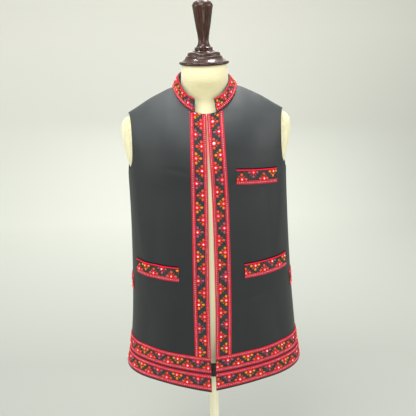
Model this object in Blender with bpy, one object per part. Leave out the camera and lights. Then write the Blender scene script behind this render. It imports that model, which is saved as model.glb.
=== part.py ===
"""Sleeveless vest with a stand collar and woven trims, worn by a limbless dress form on its stand.

Metres, +Z up. The front faces -Y and the viewer's right is +X, where the wearer's left side is.
The origin is the middle of the base's underside. Heights of the garment are measured from its hem.
"""
import bisect
import math

import bmesh
import bpy
from mathutils import Vector

# Stand and form
HEM_HEIGHT = 0.300          # hem above the floor
BASE_RADIUS = 0.150
BASE_THICK = 0.018
POLE_RADIUS = 0.0115
SOCKET_RADIUS = 0.030
SOCKET_HEIGHT = 0.065
GAP = 0.0003                # between pieces that touch

# Vest
CLOTH = 0.0020              # wall of the panels
UNDERARM = 0.482            # bottom of the armholes, above the hem
CHEST_HALF = 0.1808         # half width at the underarm
CHEST_FRONT = 0.135         # depth of the chest in front of the neck's axis
CHEST_BACK = 0.108
FRONT_SLOPE = 1.76          # how early the chest turns back towards the shoulder seam
SHOULDER_FULLNESS = 0.80    # and how much later it does out at the shoulder
BACK_FULLNESS = 0.75        # how long the shoulder blades stay upright
NECK_HALF = 0.0700          # neckline in plan, under the collar
NECK_FRONT = 0.0715
NECK_BACK = 0.066
SHOULDER_TIP = 0.1755
RIDGE = 0.012               # the front edges stand forward at the hem
EDGE_DROPS = dict(left=0.0175, right=0.0125)    # and hang lower than the sides
DROP_REACHES = dict(left=0.140, right=0.120)    # half width over which they do
HANG_TOP = 0.300            # height at which both fade out
SEAM = 0.0003

# Trims
BAND = 0.0355               # width of the woven band
BAND_LIFT = 0.0005          # space under a band
BAND_THICK = 0.0014
HEM_EDGE = 0.005            # cloth left below the lower hem band
BAND_GAP = 0.0045           # cloth left between the two hem bands
POCKET_BAND = 0.0330
POCKET_TOPS = dict(left=0.287, right=0.290)
BREAST_TOP = 0.5040
BREAST_TILT = 0.0100        # the breast band's outer end hangs lower
BREAST_TURNS = (19.3, 58.8) # where the pocket bands start and end, in degrees from the centre front
POCKET_TURNS = (23.0, 67.0)
BELT_BOTTOM = 0.2000
COLLAR_THICK = 0.0016
COLLAR_LIFT = 0.0010        # foot of the collar above the cloth it is sewn to
# From the neckline to a front band's top end, from the front edge out; the collar stands behind the last ones
BAND_TOP_CLEARANCE = [0.0010, 0.0010, 0.0036, 0.0048, 0.0048]

# The body's outline: half widths on the viewer's left and right, and depths, at heights above the hem
OUTLINE = [
    dict(height=0.000, left=0.2085, right=0.2125, front=0.1365, back=0.1300),
    dict(height=0.030, left=0.2015, right=0.2090, front=0.1370, back=0.1270),
    dict(height=0.070, left=0.1955, right=0.2030, front=0.1380, back=0.1235),
    dict(height=0.130, left=0.1895, right=0.1975, front=0.1405, back=0.1190),
    dict(height=0.200, left=0.1853, right=0.1920, front=0.1440, back=0.1140),
    dict(height=0.285, left=0.1822, right=0.1872, front=0.1460, back=0.1085),
    dict(height=0.380, left=0.1803, right=0.1833, front=0.1425, back=0.1065),
    dict(height=UNDERARM, left=CHEST_HALF, right=CHEST_HALF, front=CHEST_FRONT, back=CHEST_BACK),
]
# The two front edges: they meet at the throat and part below the chest
EDGES = [
    dict(height=0.000, left=0.0072, right=0.0030),
    dict(height=0.060, left=0.0072, right=0.0034),
    dict(height=0.210, left=0.0062, right=0.0064),
    dict(height=0.440, left=0.0026, right=0.0058),
    dict(height=0.550, left=0.0014, right=0.0022),
    dict(height=0.620, left=0.0008, right=0.0010),
]
# Top of the shoulder, out from the neck; inside the neckline it only shapes the nape
SHOULDER = [
    dict(out=0.0700, height=0.6712),
    dict(out=0.0740, height=0.6693),
    dict(out=0.0985, height=0.6580),
    dict(out=0.1250, height=0.6450),
    dict(out=0.1570, height=0.6255),
    dict(out=SHOULDER_TIP, height=0.6145),
    dict(out=0.2000, height=0.5980),
]
THROAT_CREST = 0.6712
NAPE_RISE = 0.040
# Half width of the armhole's edge, by its share of the way from the underarm to the shoulder tip
ARMHOLE = [
    dict(share=0.000, front=CHEST_HALF, back=CHEST_HALF),
    dict(share=0.055, front=0.1755, back=0.1790),
    dict(share=0.120, front=0.1695, back=0.1755),
    dict(share=0.200, front=0.1672, back=0.1720),
    dict(share=0.320, front=0.1665, back=0.1685),
    dict(share=0.450, front=0.1668, back=0.1672),
    dict(share=0.600, front=0.1682, back=0.1680),
    dict(share=0.800, front=0.1715, back=0.1712),
    dict(share=1.000, front=SHOULDER_TIP, back=SHOULDER_TIP),
]
# Top edge of the stand collar, by the angle round the neck from the centre front
COLLAR_TOP = [
    dict(angle=0, left=0.6500, right=0.6500),
    dict(angle=18, left=0.6515, right=0.6515),
    dict(angle=45, left=0.6610, right=0.6610),
    dict(angle=62, left=0.6740, right=0.6730),
    dict(angle=90, left=0.6935, right=0.6895),
    dict(angle=130, left=0.7030, right=0.6970),
    dict(angle=180, left=0.7010, right=0.7010),
]
COLLAR_TOP_HALVES = dict(left=0.0592, right=0.0567)     # the collar's wall at its top edge, in plan
COLLAR_TOP_FRONT = 0.0715
COLLAR_TOP_BACK = 0.0595
COLLAR_END = 18             # the collar stops short of the centre front, in degrees round the neck
# The dress form inside the cloth. A section is an oval, more pinched towards a diamond where the shoulders
# run into the round neck; the arm plates stand out at the sides, over an angle of the section in degrees.
FORM = [
    dict(height=0.0255, half=0.118, front=0.082, back=0.072, pinch=2.0, neck=0.0, plate=0.0, angle=16.0),
    dict(height=0.0315, half=0.140, front=0.099, back=0.088, pinch=2.0, neck=0.0, plate=0.0, angle=16.0),
    dict(height=0.0495, half=0.156, front=0.118, back=0.100, pinch=2.0, neck=0.0, plate=0.0, angle=16.0),
    dict(height=0.080, half=0.164, front=0.132, back=0.105, pinch=2.0, neck=0.0, plate=0.0, angle=16.0),
    dict(height=0.160, half=0.167, front=0.1405, back=0.102, pinch=2.0, neck=0.0, plate=0.0, angle=16.0),
    dict(height=0.285, half=0.167, front=0.1420, back=0.096, pinch=2.0, neck=0.0, plate=0.0, angle=16.0),
    dict(height=0.400, half=0.170, front=0.1375, back=0.098, pinch=2.0, neck=0.0, plate=0.0, angle=16.0),
    dict(height=0.460, half=0.171, front=0.1335, back=0.100, pinch=2.0, neck=0.0, plate=0.0, angle=16.0),
    dict(height=0.480, half=0.170, front=0.1320, back=0.100, pinch=2.0, neck=0.0, plate=0.004, angle=16.0),
    dict(height=0.496, half=0.168, front=0.1308, back=0.100, pinch=2.0, neck=0.0, plate=0.012, angle=16.0),
    dict(height=0.520, half=0.166, front=0.1265, back=0.099, pinch=2.0, neck=0.0, plate=0.021, angle=15.0),
    dict(height=0.550, half=0.165, front=0.1155, back=0.097, pinch=2.0, neck=0.0, plate=0.0275, angle=13.5),
    dict(height=0.575, half=0.164, front=0.1015, back=0.091, pinch=2.0, neck=0.0, plate=0.0315, angle=11.0),
    dict(height=0.592, half=0.163, front=0.0895, back=0.083, pinch=2.0, neck=0.0, plate=0.0330, angle=8.0),
    dict(height=0.604, half=0.163, front=0.0800, back=0.074, pinch=1.8, neck=0.0, plate=0.0285, angle=5.2),
    dict(height=0.6125, half=0.166, front=0.0690, back=0.064, pinch=1.5, neck=0.0, plate=0.006, angle=5.0),
    dict(height=0.625, half=0.1560, front=0.0630, back=0.062, pinch=1.4, neck=0.050, plate=0.0, angle=5.0),
    dict(height=0.640, half=0.1323, front=0.0560, back=0.058, pinch=1.2, neck=0.0535, plate=0.0, angle=5.0),
    dict(height=0.652, half=0.1095, front=0.046, back=0.052, pinch=1.1, neck=0.0545, plate=0.0, angle=5.0),
    dict(height=0.660, half=0.0915, front=0.040, back=0.048, pinch=1.1, neck=0.0545, plate=0.0, angle=5.0),
    dict(height=0.667, half=0.0740, front=0.030, back=0.040, pinch=1.1, neck=0.0545, plate=0.0, angle=5.0),
    dict(height=0.676, half=0.0545, front=0.0545, back=0.0545, pinch=2.0, neck=0.0545, plate=0.0, angle=5.0),
    dict(height=0.695, half=0.0530, front=0.0530, back=0.0530, pinch=2.0, neck=0.0530, plate=0.0, angle=5.0),
    dict(height=0.7205, half=0.0505, front=0.0505, back=0.0505, pinch=2.0, neck=0.0505, plate=0.0, angle=5.0),
]
PLATE_BACK_SHARE = 0.50     # an arm plate reaches less far round the back
# Turned wood on the neck, radius and height above the hem, from the underside up
CAP = [
    dict(radius=0.0500, height=0.7208),
    dict(radius=0.0550, height=0.7212),
    dict(radius=0.0562, height=0.7244),
    dict(radius=0.0552, height=0.7277),
    dict(radius=0.0510, height=0.7340),
    dict(radius=0.0420, height=0.7383),
    dict(radius=0.0368, height=0.7421),
    dict(radius=0.0340, height=0.7474),
    dict(radius=0.0305, height=0.7508),
]
KNOB = [
    dict(radius=0.0190, height=0.7511),
    dict(radius=0.0202, height=0.7528),
    dict(radius=0.0202, height=0.7558),
    dict(radius=0.0180, height=0.7578),
    dict(radius=0.0164, height=0.7613),
    dict(radius=0.0130, height=0.7668),
    dict(radius=0.0111, height=0.7738),
    dict(radius=0.0108, height=0.7828),
    dict(radius=0.0118, height=0.7948),
    dict(radius=0.0148, height=0.8088),
    dict(radius=0.0176, height=0.8228),
    dict(radius=0.0210, height=0.8388),
    dict(radius=0.0220, height=0.8473),
    dict(radius=0.0212, height=0.8528),
    dict(radius=0.0180, height=0.8573),
    dict(radius=0.0110, height=0.8600),
]
# Directions of a form section's points in one quarter, from the side round to the middle
FORM_BEARINGS = [0, 3, 6, 9, 13, 18] + [27 + 9 * step for step in range(8)]

RIGHT = 1
LEFT = -1
FRONT_COLUMNS = 12
LOWER_ROWS = 14
CENTRE_ROWS = 7             # from the underarm's level up to the neckline
NECK_ROWS = 6               # along the neckline to the shoulder seam


def follow(table, key, column, value):
    """Smooth value of a table's column where its key has the given value."""
    keys = [row[key] for row in table]
    spot = min(max(value, keys[0]), keys[-1])
    low = min(max(bisect.bisect_right(keys, spot) - 1, 0), len(keys) - 2)
    before = table[max(low - 1, 0)]
    start, end = table[low], table[low + 1]
    after = table[min(low + 2, len(table) - 1)]
    span = end[key] - start[key]
    share = (spot - start[key]) / span
    slope_start = (end[column] - before[column]) / max(end[key] - before[key], 1e-9) * span
    slope_end = (after[column] - start[column]) / max(after[key] - start[key], 1e-9) * span
    square, cube = share ** 2, share ** 3
    return ((2 * cube - 3 * square + 1) * start[column] + (cube - 2 * square + share) * slope_start
            + (3 * square - 2 * cube) * end[column] + (cube - square) * slope_end)


def side_name(side):
    return "right" if side == RIGHT else "left"


def lean(turn, back):
    """Exponent that sets how early a column of the cloth turns back towards the shoulder seam."""
    return 1.0 if back else FRONT_SLOPE - SHOULDER_FULLNESS * math.sin(math.radians(turn)) ** 2


def shoulder_height(out, back):
    """Height of the shoulder line, out from the middle; at the back it rises to the nape."""
    height = follow(SHOULDER, "out", "height", out)
    if back and out < NECK_HALF:
        height += NAPE_RISE * math.cos(out / NECK_HALF * math.pi / 2) ** 1.2
    return height


def body_point(side, turn, height, back=False):
    """A point of the cloth's inner face below the underarm; turn is 0 in the middle, 90 at the side seam."""
    half = follow(OUTLINE, "height", side_name(side), height)
    depth = follow(OUTLINE, "height", "back" if back else "front", height)
    angle = math.radians(turn)
    x = side * half * math.sin(angle)
    y = depth * math.cos(angle) + SEAM / 2
    z = height
    if not back:
        hang = max(0.0, 1.0 - height / HANG_TOP) ** 1.5
        y += RIDGE * hang * (1.0 - abs(x) / half)
        reach = max(0.0, 1.0 - abs(x) / DROP_REACHES[side_name(side)])
        z -= EDGE_DROPS[side_name(side)] * hang * reach ** 1.3
    return Vector((x, y if back else -y, z))


def chest_point(side, turn, climb, back=False):
    """A point above the underarm; climb is 0 at the underarm's level and 90 on the shoulder seam."""
    out = CHEST_HALF * math.sin(math.radians(turn))
    rise = BACK_FULLNESS if back else 1.0
    depth = CHEST_BACK if back else CHEST_FRONT
    up = math.radians(climb)
    y = depth * math.cos(math.radians(turn)) * max(math.cos(up), 0.0) ** lean(turn, back) + SEAM / 2
    z = UNDERARM + (shoulder_height(out, back) - UNDERARM) * max(math.sin(up), 0.0) ** rise
    return Vector((side * out, y if back else -y, z))


def edge_turn(side, height):
    """Turn of the front edge at a height."""
    edge = follow(EDGES, "height", side_name(side), height)
    half = follow(OUTLINE, "height", side_name(side), min(height, UNDERARM))
    return math.degrees(math.asin(edge / half))


def neckline(angle, back, shrink=0.0):
    """Turn and climb of the neckline at an angle round the neck, 0 in the middle and 90 at the shoulder."""
    across = (NECK_HALF - shrink) * math.sin(math.radians(angle))
    along = ((NECK_BACK if back else NECK_FRONT) - shrink) * math.cos(math.radians(angle))
    turn = math.asin(across / CHEST_HALF)
    share = along / ((CHEST_BACK if back else CHEST_FRONT) * math.cos(turn))
    turn = math.degrees(turn)
    return turn, math.degrees(math.acos(min(1.0, max(0.0, share) ** (1 / lean(turn, back)))))


def column_shares():
    """Shares of the way from the front edge to the side seam, closer together at the edge."""
    return [(index / FRONT_COLUMNS) ** 1.15 for index in range(FRONT_COLUMNS + 1)]


def lower_heights():
    return [UNDERARM * (index / LOWER_ROWS) ** 1.45 for index in range(LOWER_ROWS + 1)]


def half_panel(side, back):
    """Grid of points of one half panel, row by row from the hem to the shoulder seam."""
    rows = []
    for height in lower_heights():
        start = 0.0 if back else edge_turn(side, height)
        rows.append([body_point(side, start + (90 - start) * share, height, back)
                     for share in column_shares()])
    throat = neckline(0, back)[1]
    total = CENTRE_ROWS + NECK_ROWS
    for row in range(1, total + 1):
        if row <= CENTRE_ROWS:
            inner_climb = throat * row / CENTRE_ROWS
            height = UNDERARM + (THROAT_CREST - UNDERARM) * math.sin(math.radians(inner_climb))
            inner_turn = 0.0 if back else edge_turn(side, height)
        else:
            angle = 90 * (row - CENTRE_ROWS) / NECK_ROWS
            inner_turn, inner_climb = neckline(angle, back)
        outer_climb = 90 * row / total
        outer_half = follow(ARMHOLE, "share", "back" if back else "front", row / total)
        outer_turn = math.degrees(math.asin(outer_half / CHEST_HALF))
        rows.append([chest_point(side, inner_turn + (outer_turn - inner_turn) * share,
                                 inner_climb + (outer_climb - inner_climb) * share, back)
                     for share in column_shares()])
    return rows


def material(name, colour, roughness):
    """Principled material."""
    made = bpy.data.materials.new(name)
    made.use_nodes = True
    shader = made.node_tree.nodes["Principled BSDF"]
    shader.inputs["Base Color"].default_value = (*colour, 1.0)
    shader.inputs["Roughness"].default_value = roughness
    return made


def add_object(name, mesh_data, finish, smooth_angle=35):
    """Node from a bmesh, standing at the hem's height above the floor."""
    mesh = bpy.data.meshes.new(name)
    mesh_data.to_mesh(mesh)
    mesh_data.free()
    mesh.shade_smooth()
    mesh.set_sharp_from_angle(angle=math.radians(smooth_angle))
    node = bpy.data.objects.new(name, mesh)
    node.location.z = HEM_HEIGHT
    bpy.context.scene.collection.objects.link(node)
    node.data.materials.append(finish)
    return node


def sheet(grids):
    """One bmesh sheet from grids of points, merged where the grids share an edge."""
    cloth = bmesh.new()
    for rows in grids:
        corners = [[cloth.verts.new(point) for point in row] for row in rows]
        for low, high in zip(corners, corners[1:]):
            for index in range(len(low) - 1):
                cloth.faces.new((low[index], low[index + 1], high[index + 1], high[index]))
    bmesh.ops.remove_doubles(cloth, verts=cloth.verts, dist=0.00002)
    bmesh.ops.recalc_face_normals(cloth, faces=cloth.faces)
    cloth.normal_update()
    return cloth


def faces_outward(cloth):
    """Whether the sheet's normals point away from the upright axis through the origin."""
    total = 0.0
    for vert in cloth.verts:
        away = Vector((vert.co.x, vert.co.y, 0))
        total += away.dot(vert.normal)
    return total > 0


def wall(name, grids, inner, outer, finish):
    """Closed wall: the sheet's points moved out by the inner and the outer distance."""
    cloth = sheet(grids)
    flip = 1 if faces_outward(cloth) else -1
    solid = bmesh.new()
    below, above = {}, {}
    for vert in cloth.verts:
        below[vert] = solid.verts.new(vert.co + vert.normal * inner * flip)
        above[vert] = solid.verts.new(vert.co + vert.normal * outer * flip)
    for face in cloth.faces:
        solid.faces.new([above[vert] for vert in face.verts])
        solid.faces.new([below[vert] for vert in reversed(face.verts)])
    for edge in cloth.edges:
        if edge.is_boundary:
            loop = edge.link_loops[0]
            start, end = loop.vert, loop.link_loop_next.vert
            solid.faces.new((above[end], above[start], below[start], below[end]))
    cloth.free()
    bmesh.ops.recalc_face_normals(solid, faces=solid.faces)
    return add_object(name, solid, finish)


def front_band(side):
    """Points under the band that runs up a front edge, from the hem bands to the neckline."""
    rows = []
    bottom = hem_band_levels()[1][1] + GAP
    heights = [bottom + (UNDERARM - bottom) * index / 14 for index in range(15)]
    shares = [index / 4 for index in range(5)]
    for height in heights:
        half = follow(OUTLINE, "height", side_name(side), height)
        edge = follow(EDGES, "height", side_name(side), height)
        row = []
        for share in shares:
            turn = math.degrees(math.asin((edge + BAND * share) / half))
            row.append(body_point(side, turn, height))
        rows.append(row)
    steps = 12
    for step in range(1, steps + 1):
        row = []
        for share, clearance in zip(shares, BAND_TOP_CLEARANCE):
            out = BAND * (share + 0.025)
            angle = math.degrees(math.asin(out / (NECK_HALF + clearance)))
            climb = neckline(angle, False, -clearance)[1] * step / steps
            height = UNDERARM + (THROAT_CREST - UNDERARM) * math.sin(math.radians(climb))
            edge = follow(EDGES, "height", side_name(side), height)
            turn = math.degrees(math.asin((edge + BAND * share) / CHEST_HALF))
            row.append(chest_point(side, turn, climb))
        rows.append(row)
    return rows


def hem_band_levels():
    """Bottom and top of the lower and of the upper hem band."""
    lower_top = HEM_EDGE + BAND
    upper_bottom = lower_top + BAND_GAP
    return (HEM_EDGE, lower_top), (upper_bottom, upper_bottom + BAND)


def level_band(side, back, bottom, top, start, end, columns, rows=3):
    """Points under a level band below the underarm, between two turns."""
    heights = [bottom + (top - bottom) * row / rows for row in range(rows + 1)]
    grid = []
    for height in heights:
        first = edge_turn(side, height) if start is None else start
        grid.append([body_point(side, first + (end - first) * column / columns, height, back)
                     for column in range(columns + 1)])
    return grid


def breast_band():
    """Points under the breast pocket's band, which crosses the underarm's level."""
    grid = []
    rows, columns = 4, 11
    start, end = BREAST_TURNS
    for row in range(rows + 1):
        height = BREAST_TOP - POCKET_BAND * (1 - row / rows)
        line = []
        for column in range(columns + 1):
            turn = start + (end - start) * column / columns
            rise = height - UNDERARM - BREAST_TILT * column / columns
            if rise <= 0:
                line.append(body_point(RIGHT, turn, UNDERARM + rise))
            else:
                top = shoulder_height(CHEST_HALF * math.sin(math.radians(turn)), False)
                climb = math.degrees(math.asin(rise / (top - UNDERARM)))
                line.append(chest_point(RIGHT, turn, max(climb, 0.3)))
        grid.append(line)
    return grid


def chest_normal(turn, climb, back):
    """Outward direction of the cloth above the underarm, on the viewer's right."""
    step = 0.5
    across = chest_point(RIGHT, turn + step, climb, back) - chest_point(RIGHT, turn - step, climb, back)
    upward = chest_point(RIGHT, turn, min(climb + step, 90), back) - chest_point(RIGHT, turn, climb - step, back)
    normal = across.cross(upward).normalized()
    return -normal if normal.z < 0 else normal


def collar_base(angle):
    """Inner foot of the collar, on the cloth at its neckline; the angle is 0 in front and 180 at the nape."""
    back = angle > 90
    turn, climb = neckline(180 - angle if back else angle, back, -GAP)
    return chest_point(RIGHT, turn, climb, back) + chest_normal(turn, climb, back) * (CLOTH + COLLAR_LIFT)


def collar_grid(bottom_share=0.0, top_share=1.0, end=COLLAR_END):
    """Points of the collar's wall from one front end round the back to the other."""
    grid = []
    columns, rows = 38, 3
    for row in range(rows + 1):
        share = bottom_share + (top_share - bottom_share) * row / rows
        line = []
        for column in range(columns + 1):
            angle = end + (360 - 2 * end) * column / columns
            side = RIGHT if angle <= 180 else LEFT
            angle = angle if angle <= 180 else 360 - angle
            low = collar_base(angle)
            radians = math.radians(angle)
            depth = COLLAR_TOP_FRONT if angle < 90 else COLLAR_TOP_BACK
            high = Vector((COLLAR_TOP_HALVES[side_name(side)] * math.sin(radians) - COLLAR_THICK,
                           -(depth - COLLAR_THICK) * math.cos(radians),
                           follow(COLLAR_TOP, "angle", side_name(side), angle)))
            point = low.lerp(high, share)
            line.append(Vector((side * point.x, point.y, point.z)))
        grid.append(line)
    return grid


def ring_solid(name, rings, finish, smooth_angle=35):
    """Closed solid through a stack of rings of points, bottom ring first."""
    solid = bmesh.new()
    loops = [[solid.verts.new(point) for point in ring] for ring in rings]
    for low, high in zip(loops, loops[1:]):
        count = len(low)
        for index in range(count):
            following = (index + 1) % count
            solid.faces.new((low[index], low[following], high[following], high[index]))
    solid.faces.new(list(reversed(loops[0])))
    solid.faces.new(loops[-1])
    bmesh.ops.recalc_face_normals(solid, faces=solid.faces)
    return add_object(name, solid, finish, smooth_angle)


def circle(radius, height, count=32):
    return [Vector((radius * math.cos(2 * math.pi * index / count),
                    radius * math.sin(2 * math.pi * index / count), height)) for index in range(count)]


def form_ring(height):
    """Section of the dress form at a height, with finer steps across the arm plates."""
    row = {column: follow(FORM, "height", column, height) for column in FORM[0]}
    ring = []
    for quarter in range(4):
        back = quarter < 2
        depth = row["back"] if back else row["front"]
        reach = row["angle"] * (PLATE_BACK_SHARE if back else 1.0)
        bearings = FORM_BEARINGS[:-1] if quarter % 2 == 0 else list(reversed(FORM_BEARINGS))[:-1]
        for bearing in bearings:
            angle = math.radians(bearing)
            oval = ((math.cos(angle) / row["half"]) ** row["pinch"]
                    + (math.sin(angle) / depth) ** row["pinch"]) ** (-1 / row["pinch"])
            radius = max(oval, row["neck"])
            if bearing < reach:
                radius += max(row["plate"], 0.0) * math.cos(bearing / reach * math.pi / 2) ** 1.2
            x = radius * math.cos(angle) * (1 if quarter in (0, 3) else -1)
            y = radius * math.sin(angle) * (1 if back else -1)
            ring.append(Vector((x, y, height)))
    return ring


def build_stand(wood, paint, black):
    base = [circle(BASE_RADIUS - 0.003, 0.0, 48), circle(BASE_RADIUS, 0.003, 48),
            circle(BASE_RADIUS, BASE_THICK - 0.005, 48), circle(BASE_RADIUS - 0.005, BASE_THICK, 48)]
    disc = ring_solid("base", base, wood)
    disc.location.z = 0.0
    socket_top = FORM[0]["height"] - GAP
    socket_bottom = socket_top - SOCKET_HEIGHT
    pole_bottom = BASE_THICK + GAP - HEM_HEIGHT
    ring_solid("pole", [circle(POLE_RADIUS, pole_bottom), circle(POLE_RADIUS, socket_bottom - GAP)], paint)
    ring_solid("socket", [circle(SOCKET_RADIUS - 0.003, socket_bottom), circle(SOCKET_RADIUS, socket_bottom + 0.003),
                          circle(SOCKET_RADIUS, socket_top)], black)


def build_form(linen, wood):
    heights = []
    for low, high in zip(FORM, FORM[1:]):
        heights.append(low["height"])
        if low["height"] > 0.45:
            heights.append((low["height"] + high["height"]) / 2)
    heights.append(FORM[-1]["height"])
    ring_solid("dress_form", [form_ring(height) for height in heights], linen)
    ring_solid("neck_cap", [circle(row["radius"], row["height"]) for row in CAP], wood)
    ring_solid("finial", [circle(row["radius"], row["height"], 20) for row in KNOB], wood)


def build_vest(cloth, trim):
    wall("front_left", [half_panel(LEFT, False)], 0.0, CLOTH, cloth)
    wall("front_right", [half_panel(RIGHT, False)], 0.0, CLOTH, cloth)
    wall("back", [half_panel(LEFT, True), half_panel(RIGHT, True)], 0.0, CLOTH, cloth)
    wall("collar", [collar_grid()], 0.0, COLLAR_THICK, cloth)
    inner = CLOTH + BAND_LIFT
    outer = inner + BAND_THICK
    wall("collar_band", [collar_grid(0.03, 0.97, COLLAR_END + 0.7)], COLLAR_THICK + BAND_LIFT,
         COLLAR_THICK + BAND_LIFT + BAND_THICK, trim)
    for side in (LEFT, RIGHT):
        wall("front_band_" + side_name(side), [front_band(side)], inner, outer, trim)
        top = POCKET_TOPS[side_name(side)]
        pocket = level_band(side, False, top - POCKET_BAND, top, *POCKET_TURNS, 13)
        wall("pocket_band_" + side_name(side), [pocket], inner, outer, trim)
    for label, (bottom, top) in zip(("lower", "upper"), hem_band_levels()):
        for side in (LEFT, RIGHT):
            name = "hem_band_" + label + "_" + side_name(side)
            wall(name, [level_band(side, False, bottom, top, None, 90.0, 18)], inner, outer, trim)
        halves = [level_band(side, True, bottom, top, 0.0, 90.0, 18) for side in (LEFT, RIGHT)]
        wall("hem_band_" + label + "_back", halves, inner, outer, trim)
    wall("breast_pocket_band", [breast_band()], inner, outer, trim)
    belt = [level_band(side, True, BELT_BOTTOM, BELT_BOTTOM + BAND, 0.0, 90.0, 18) for side in (LEFT, RIGHT)]
    wall("back_band", belt, inner, outer, trim)


for old in list(bpy.data.objects):
    bpy.data.objects.remove(old, do_unlink=True)

cloth_black = material("vest_cloth", (0.045, 0.048, 0.048), 0.75)
woven_trim = material("woven_trim", (0.60, 0.02, 0.06), 0.65)
cream_linen = material("form_linen", (0.80, 0.76, 0.60), 0.85)
dark_wood = material("dark_wood", (0.06, 0.03, 0.02), 0.25)
cream_paint = material("cream_paint", (0.82, 0.78, 0.60), 0.45)
black_plastic = material("black_plastic", (0.012, 0.012, 0.012), 0.5)
build_stand(dark_wood, cream_paint, black_plastic)
build_form(cream_linen, dark_wood)
build_vest(cloth_black, woven_trim)
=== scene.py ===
# %% [markdown]
# # A sleeveless vest on a dress form
# The vest is cut from smooth black suiting: two fronts, one back and a stand collar. Woven ribbons
# with red borders and stitched flowers edge it. It sits on a limbless form with a turned wooden cap.
# The imported model fixes every size and place, so it is loaded first.

# %% Load the imported model
import math

import bpy
import numpy as np
from mathutils import Matrix, Vector


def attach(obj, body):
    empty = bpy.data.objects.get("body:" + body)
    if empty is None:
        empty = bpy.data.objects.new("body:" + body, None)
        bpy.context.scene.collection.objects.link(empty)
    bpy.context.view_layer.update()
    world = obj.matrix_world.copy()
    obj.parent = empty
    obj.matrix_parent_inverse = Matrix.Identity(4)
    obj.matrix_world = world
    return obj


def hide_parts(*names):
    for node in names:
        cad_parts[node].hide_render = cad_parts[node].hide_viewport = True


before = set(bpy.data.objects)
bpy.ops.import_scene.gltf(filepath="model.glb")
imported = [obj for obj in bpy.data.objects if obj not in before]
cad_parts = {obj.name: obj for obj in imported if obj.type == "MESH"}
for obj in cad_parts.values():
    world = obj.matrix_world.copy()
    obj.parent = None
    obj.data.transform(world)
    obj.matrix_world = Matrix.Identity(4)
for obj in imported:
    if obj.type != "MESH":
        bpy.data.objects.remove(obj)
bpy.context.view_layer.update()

print("packed model:", sorted(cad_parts))

# %% [markdown]
# ## Camera
# The photographer stood in front, a little above the collar, and looked down. A long lens keeps the
# sides nearly parallel. The camera's axes are worked out from its yaw, pitch and roll.

# %% Camera
PICTURE = 416                    # pixels across the square picture
FOCUS = 795.4                    # focal length in those pixels
SENSOR = 36.0
CAMERA_PLACE = Vector((-0.0336, -1.8064, 1.1848))
YAW, PITCH, ROLL = math.radians(1.033), math.radians(15.47), math.radians(-1.714)

forward = Vector((math.sin(YAW) * math.cos(PITCH), math.cos(YAW) * math.cos(PITCH), -math.sin(PITCH)))
level = forward.cross(Vector((0, 0, 1))).normalized()
upright = level.cross(forward)
across = math.cos(ROLL) * level + math.sin(ROLL) * upright
upward = math.cos(ROLL) * upright - math.sin(ROLL) * level
camera = bpy.data.objects.new("camera", bpy.data.cameras.new("camera"))
camera.data.sensor_width = SENSOR
camera.data.lens = FOCUS / PICTURE * SENSOR
camera.matrix_world = Matrix((
    (across.x, upward.x, -forward.x, CAMERA_PLACE.x),
    (across.y, upward.y, -forward.y, CAMERA_PLACE.y),
    (across.z, upward.z, -forward.z, CAMERA_PLACE.z),
    (0, 0, 0, 1)))
bpy.context.scene.collection.objects.link(camera)
bpy.context.scene.camera = camera
print(f"camera: lens {camera.data.lens:.1f} mm")

# %% [markdown]
# ## Small helpers
# Blender's operators act on everything that is selected, so each new piece starts from an empty
# selection. Sizes that come in rows are kept in small tables whose columns have names.

# %% Tables and selection
def table(columns, *rows):
    """One dictionary for each row, with the columns' names as its keys."""
    return [dict(zip(columns.split(), row)) for row in rows]


def choose(*pieces):
    """Selects only these pieces, and makes the first the active one."""
    if bpy.context.object and bpy.context.object.mode != "OBJECT":
        bpy.ops.object.mode_set(mode="OBJECT")
    bpy.ops.object.select_all(action="DESELECT")
    for piece in pieces:
        piece.select_set(True)
    bpy.context.view_layer.objects.active = pieces[0] if pieces else None


def pick(kind, rule):
    """Selects the active mesh's vertices, edges or polygons by a rule, for edit mode, and counts them."""
    bpy.ops.object.mode_set(mode="EDIT")
    bpy.ops.mesh.select_mode(type=dict(vertices="VERT", edges="EDGE", polygons="FACE")[kind])
    bpy.ops.mesh.select_all(action="DESELECT")
    bpy.ops.object.mode_set(mode="OBJECT")
    parts = getattr(bpy.context.object.data, kind)
    for part in parts:
        part.select = rule(part)
    picked = sum(part.select for part in parts)
    bpy.ops.object.mode_set(mode="EDIT")
    return picked


def finish_piece(piece, smooth=40):
    """Puts the piece's place into its mesh and shades it by angle."""
    choose(piece)
    bpy.ops.object.transform_apply(location=True, rotation=True, scale=True)
    bpy.ops.object.shade_smooth_by_angle(angle=math.radians(smooth))
    return piece


def shown(name, mesh):
    """A new object of the mesh, linked to the scene."""
    piece = bpy.data.objects.new(name, mesh)
    bpy.context.scene.collection.objects.link(piece)
    return piece

# %% [markdown]
# Nodes are placed by helpers that take their settings by name. A value given to a socket is either a
# number or colour, or another node's output, which is then linked.

# %% Node helpers
def feed(tree, socket, value):
    """Links an output to a socket, or sets the socket's own value."""
    if isinstance(value, bpy.types.NodeSocket):
        tree.links.new(value, socket)
    else:
        socket.default_value = value


def add_node(tree, kind, settings=None, **sockets):
    """A node with its settings and inputs; an input is named by its label, or as i and its number."""
    made = tree.nodes.new(kind)
    for name, value in (settings or {}).items():
        setattr(made, name, value)
    for name, value in sockets.items():
        numbered = name[0] == "i" and name[1:].isdigit()
        feed(tree, made.inputs[int(name[1:]) if numbered else name.replace("_", " ")], value)
    return made


def calculate(tree, operation, *values):
    """Output of a Math node."""
    inputs = {f"i{index}": value for index, value in enumerate(values)}
    return add_node(tree, "ShaderNodeMath", {"operation": operation}, **inputs).outputs[0]


def multiply(tree, first, second):
    return calculate(tree, "MULTIPLY", first, second)


def plus(tree, first, second):
    return calculate(tree, "ADD", first, second)


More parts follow.
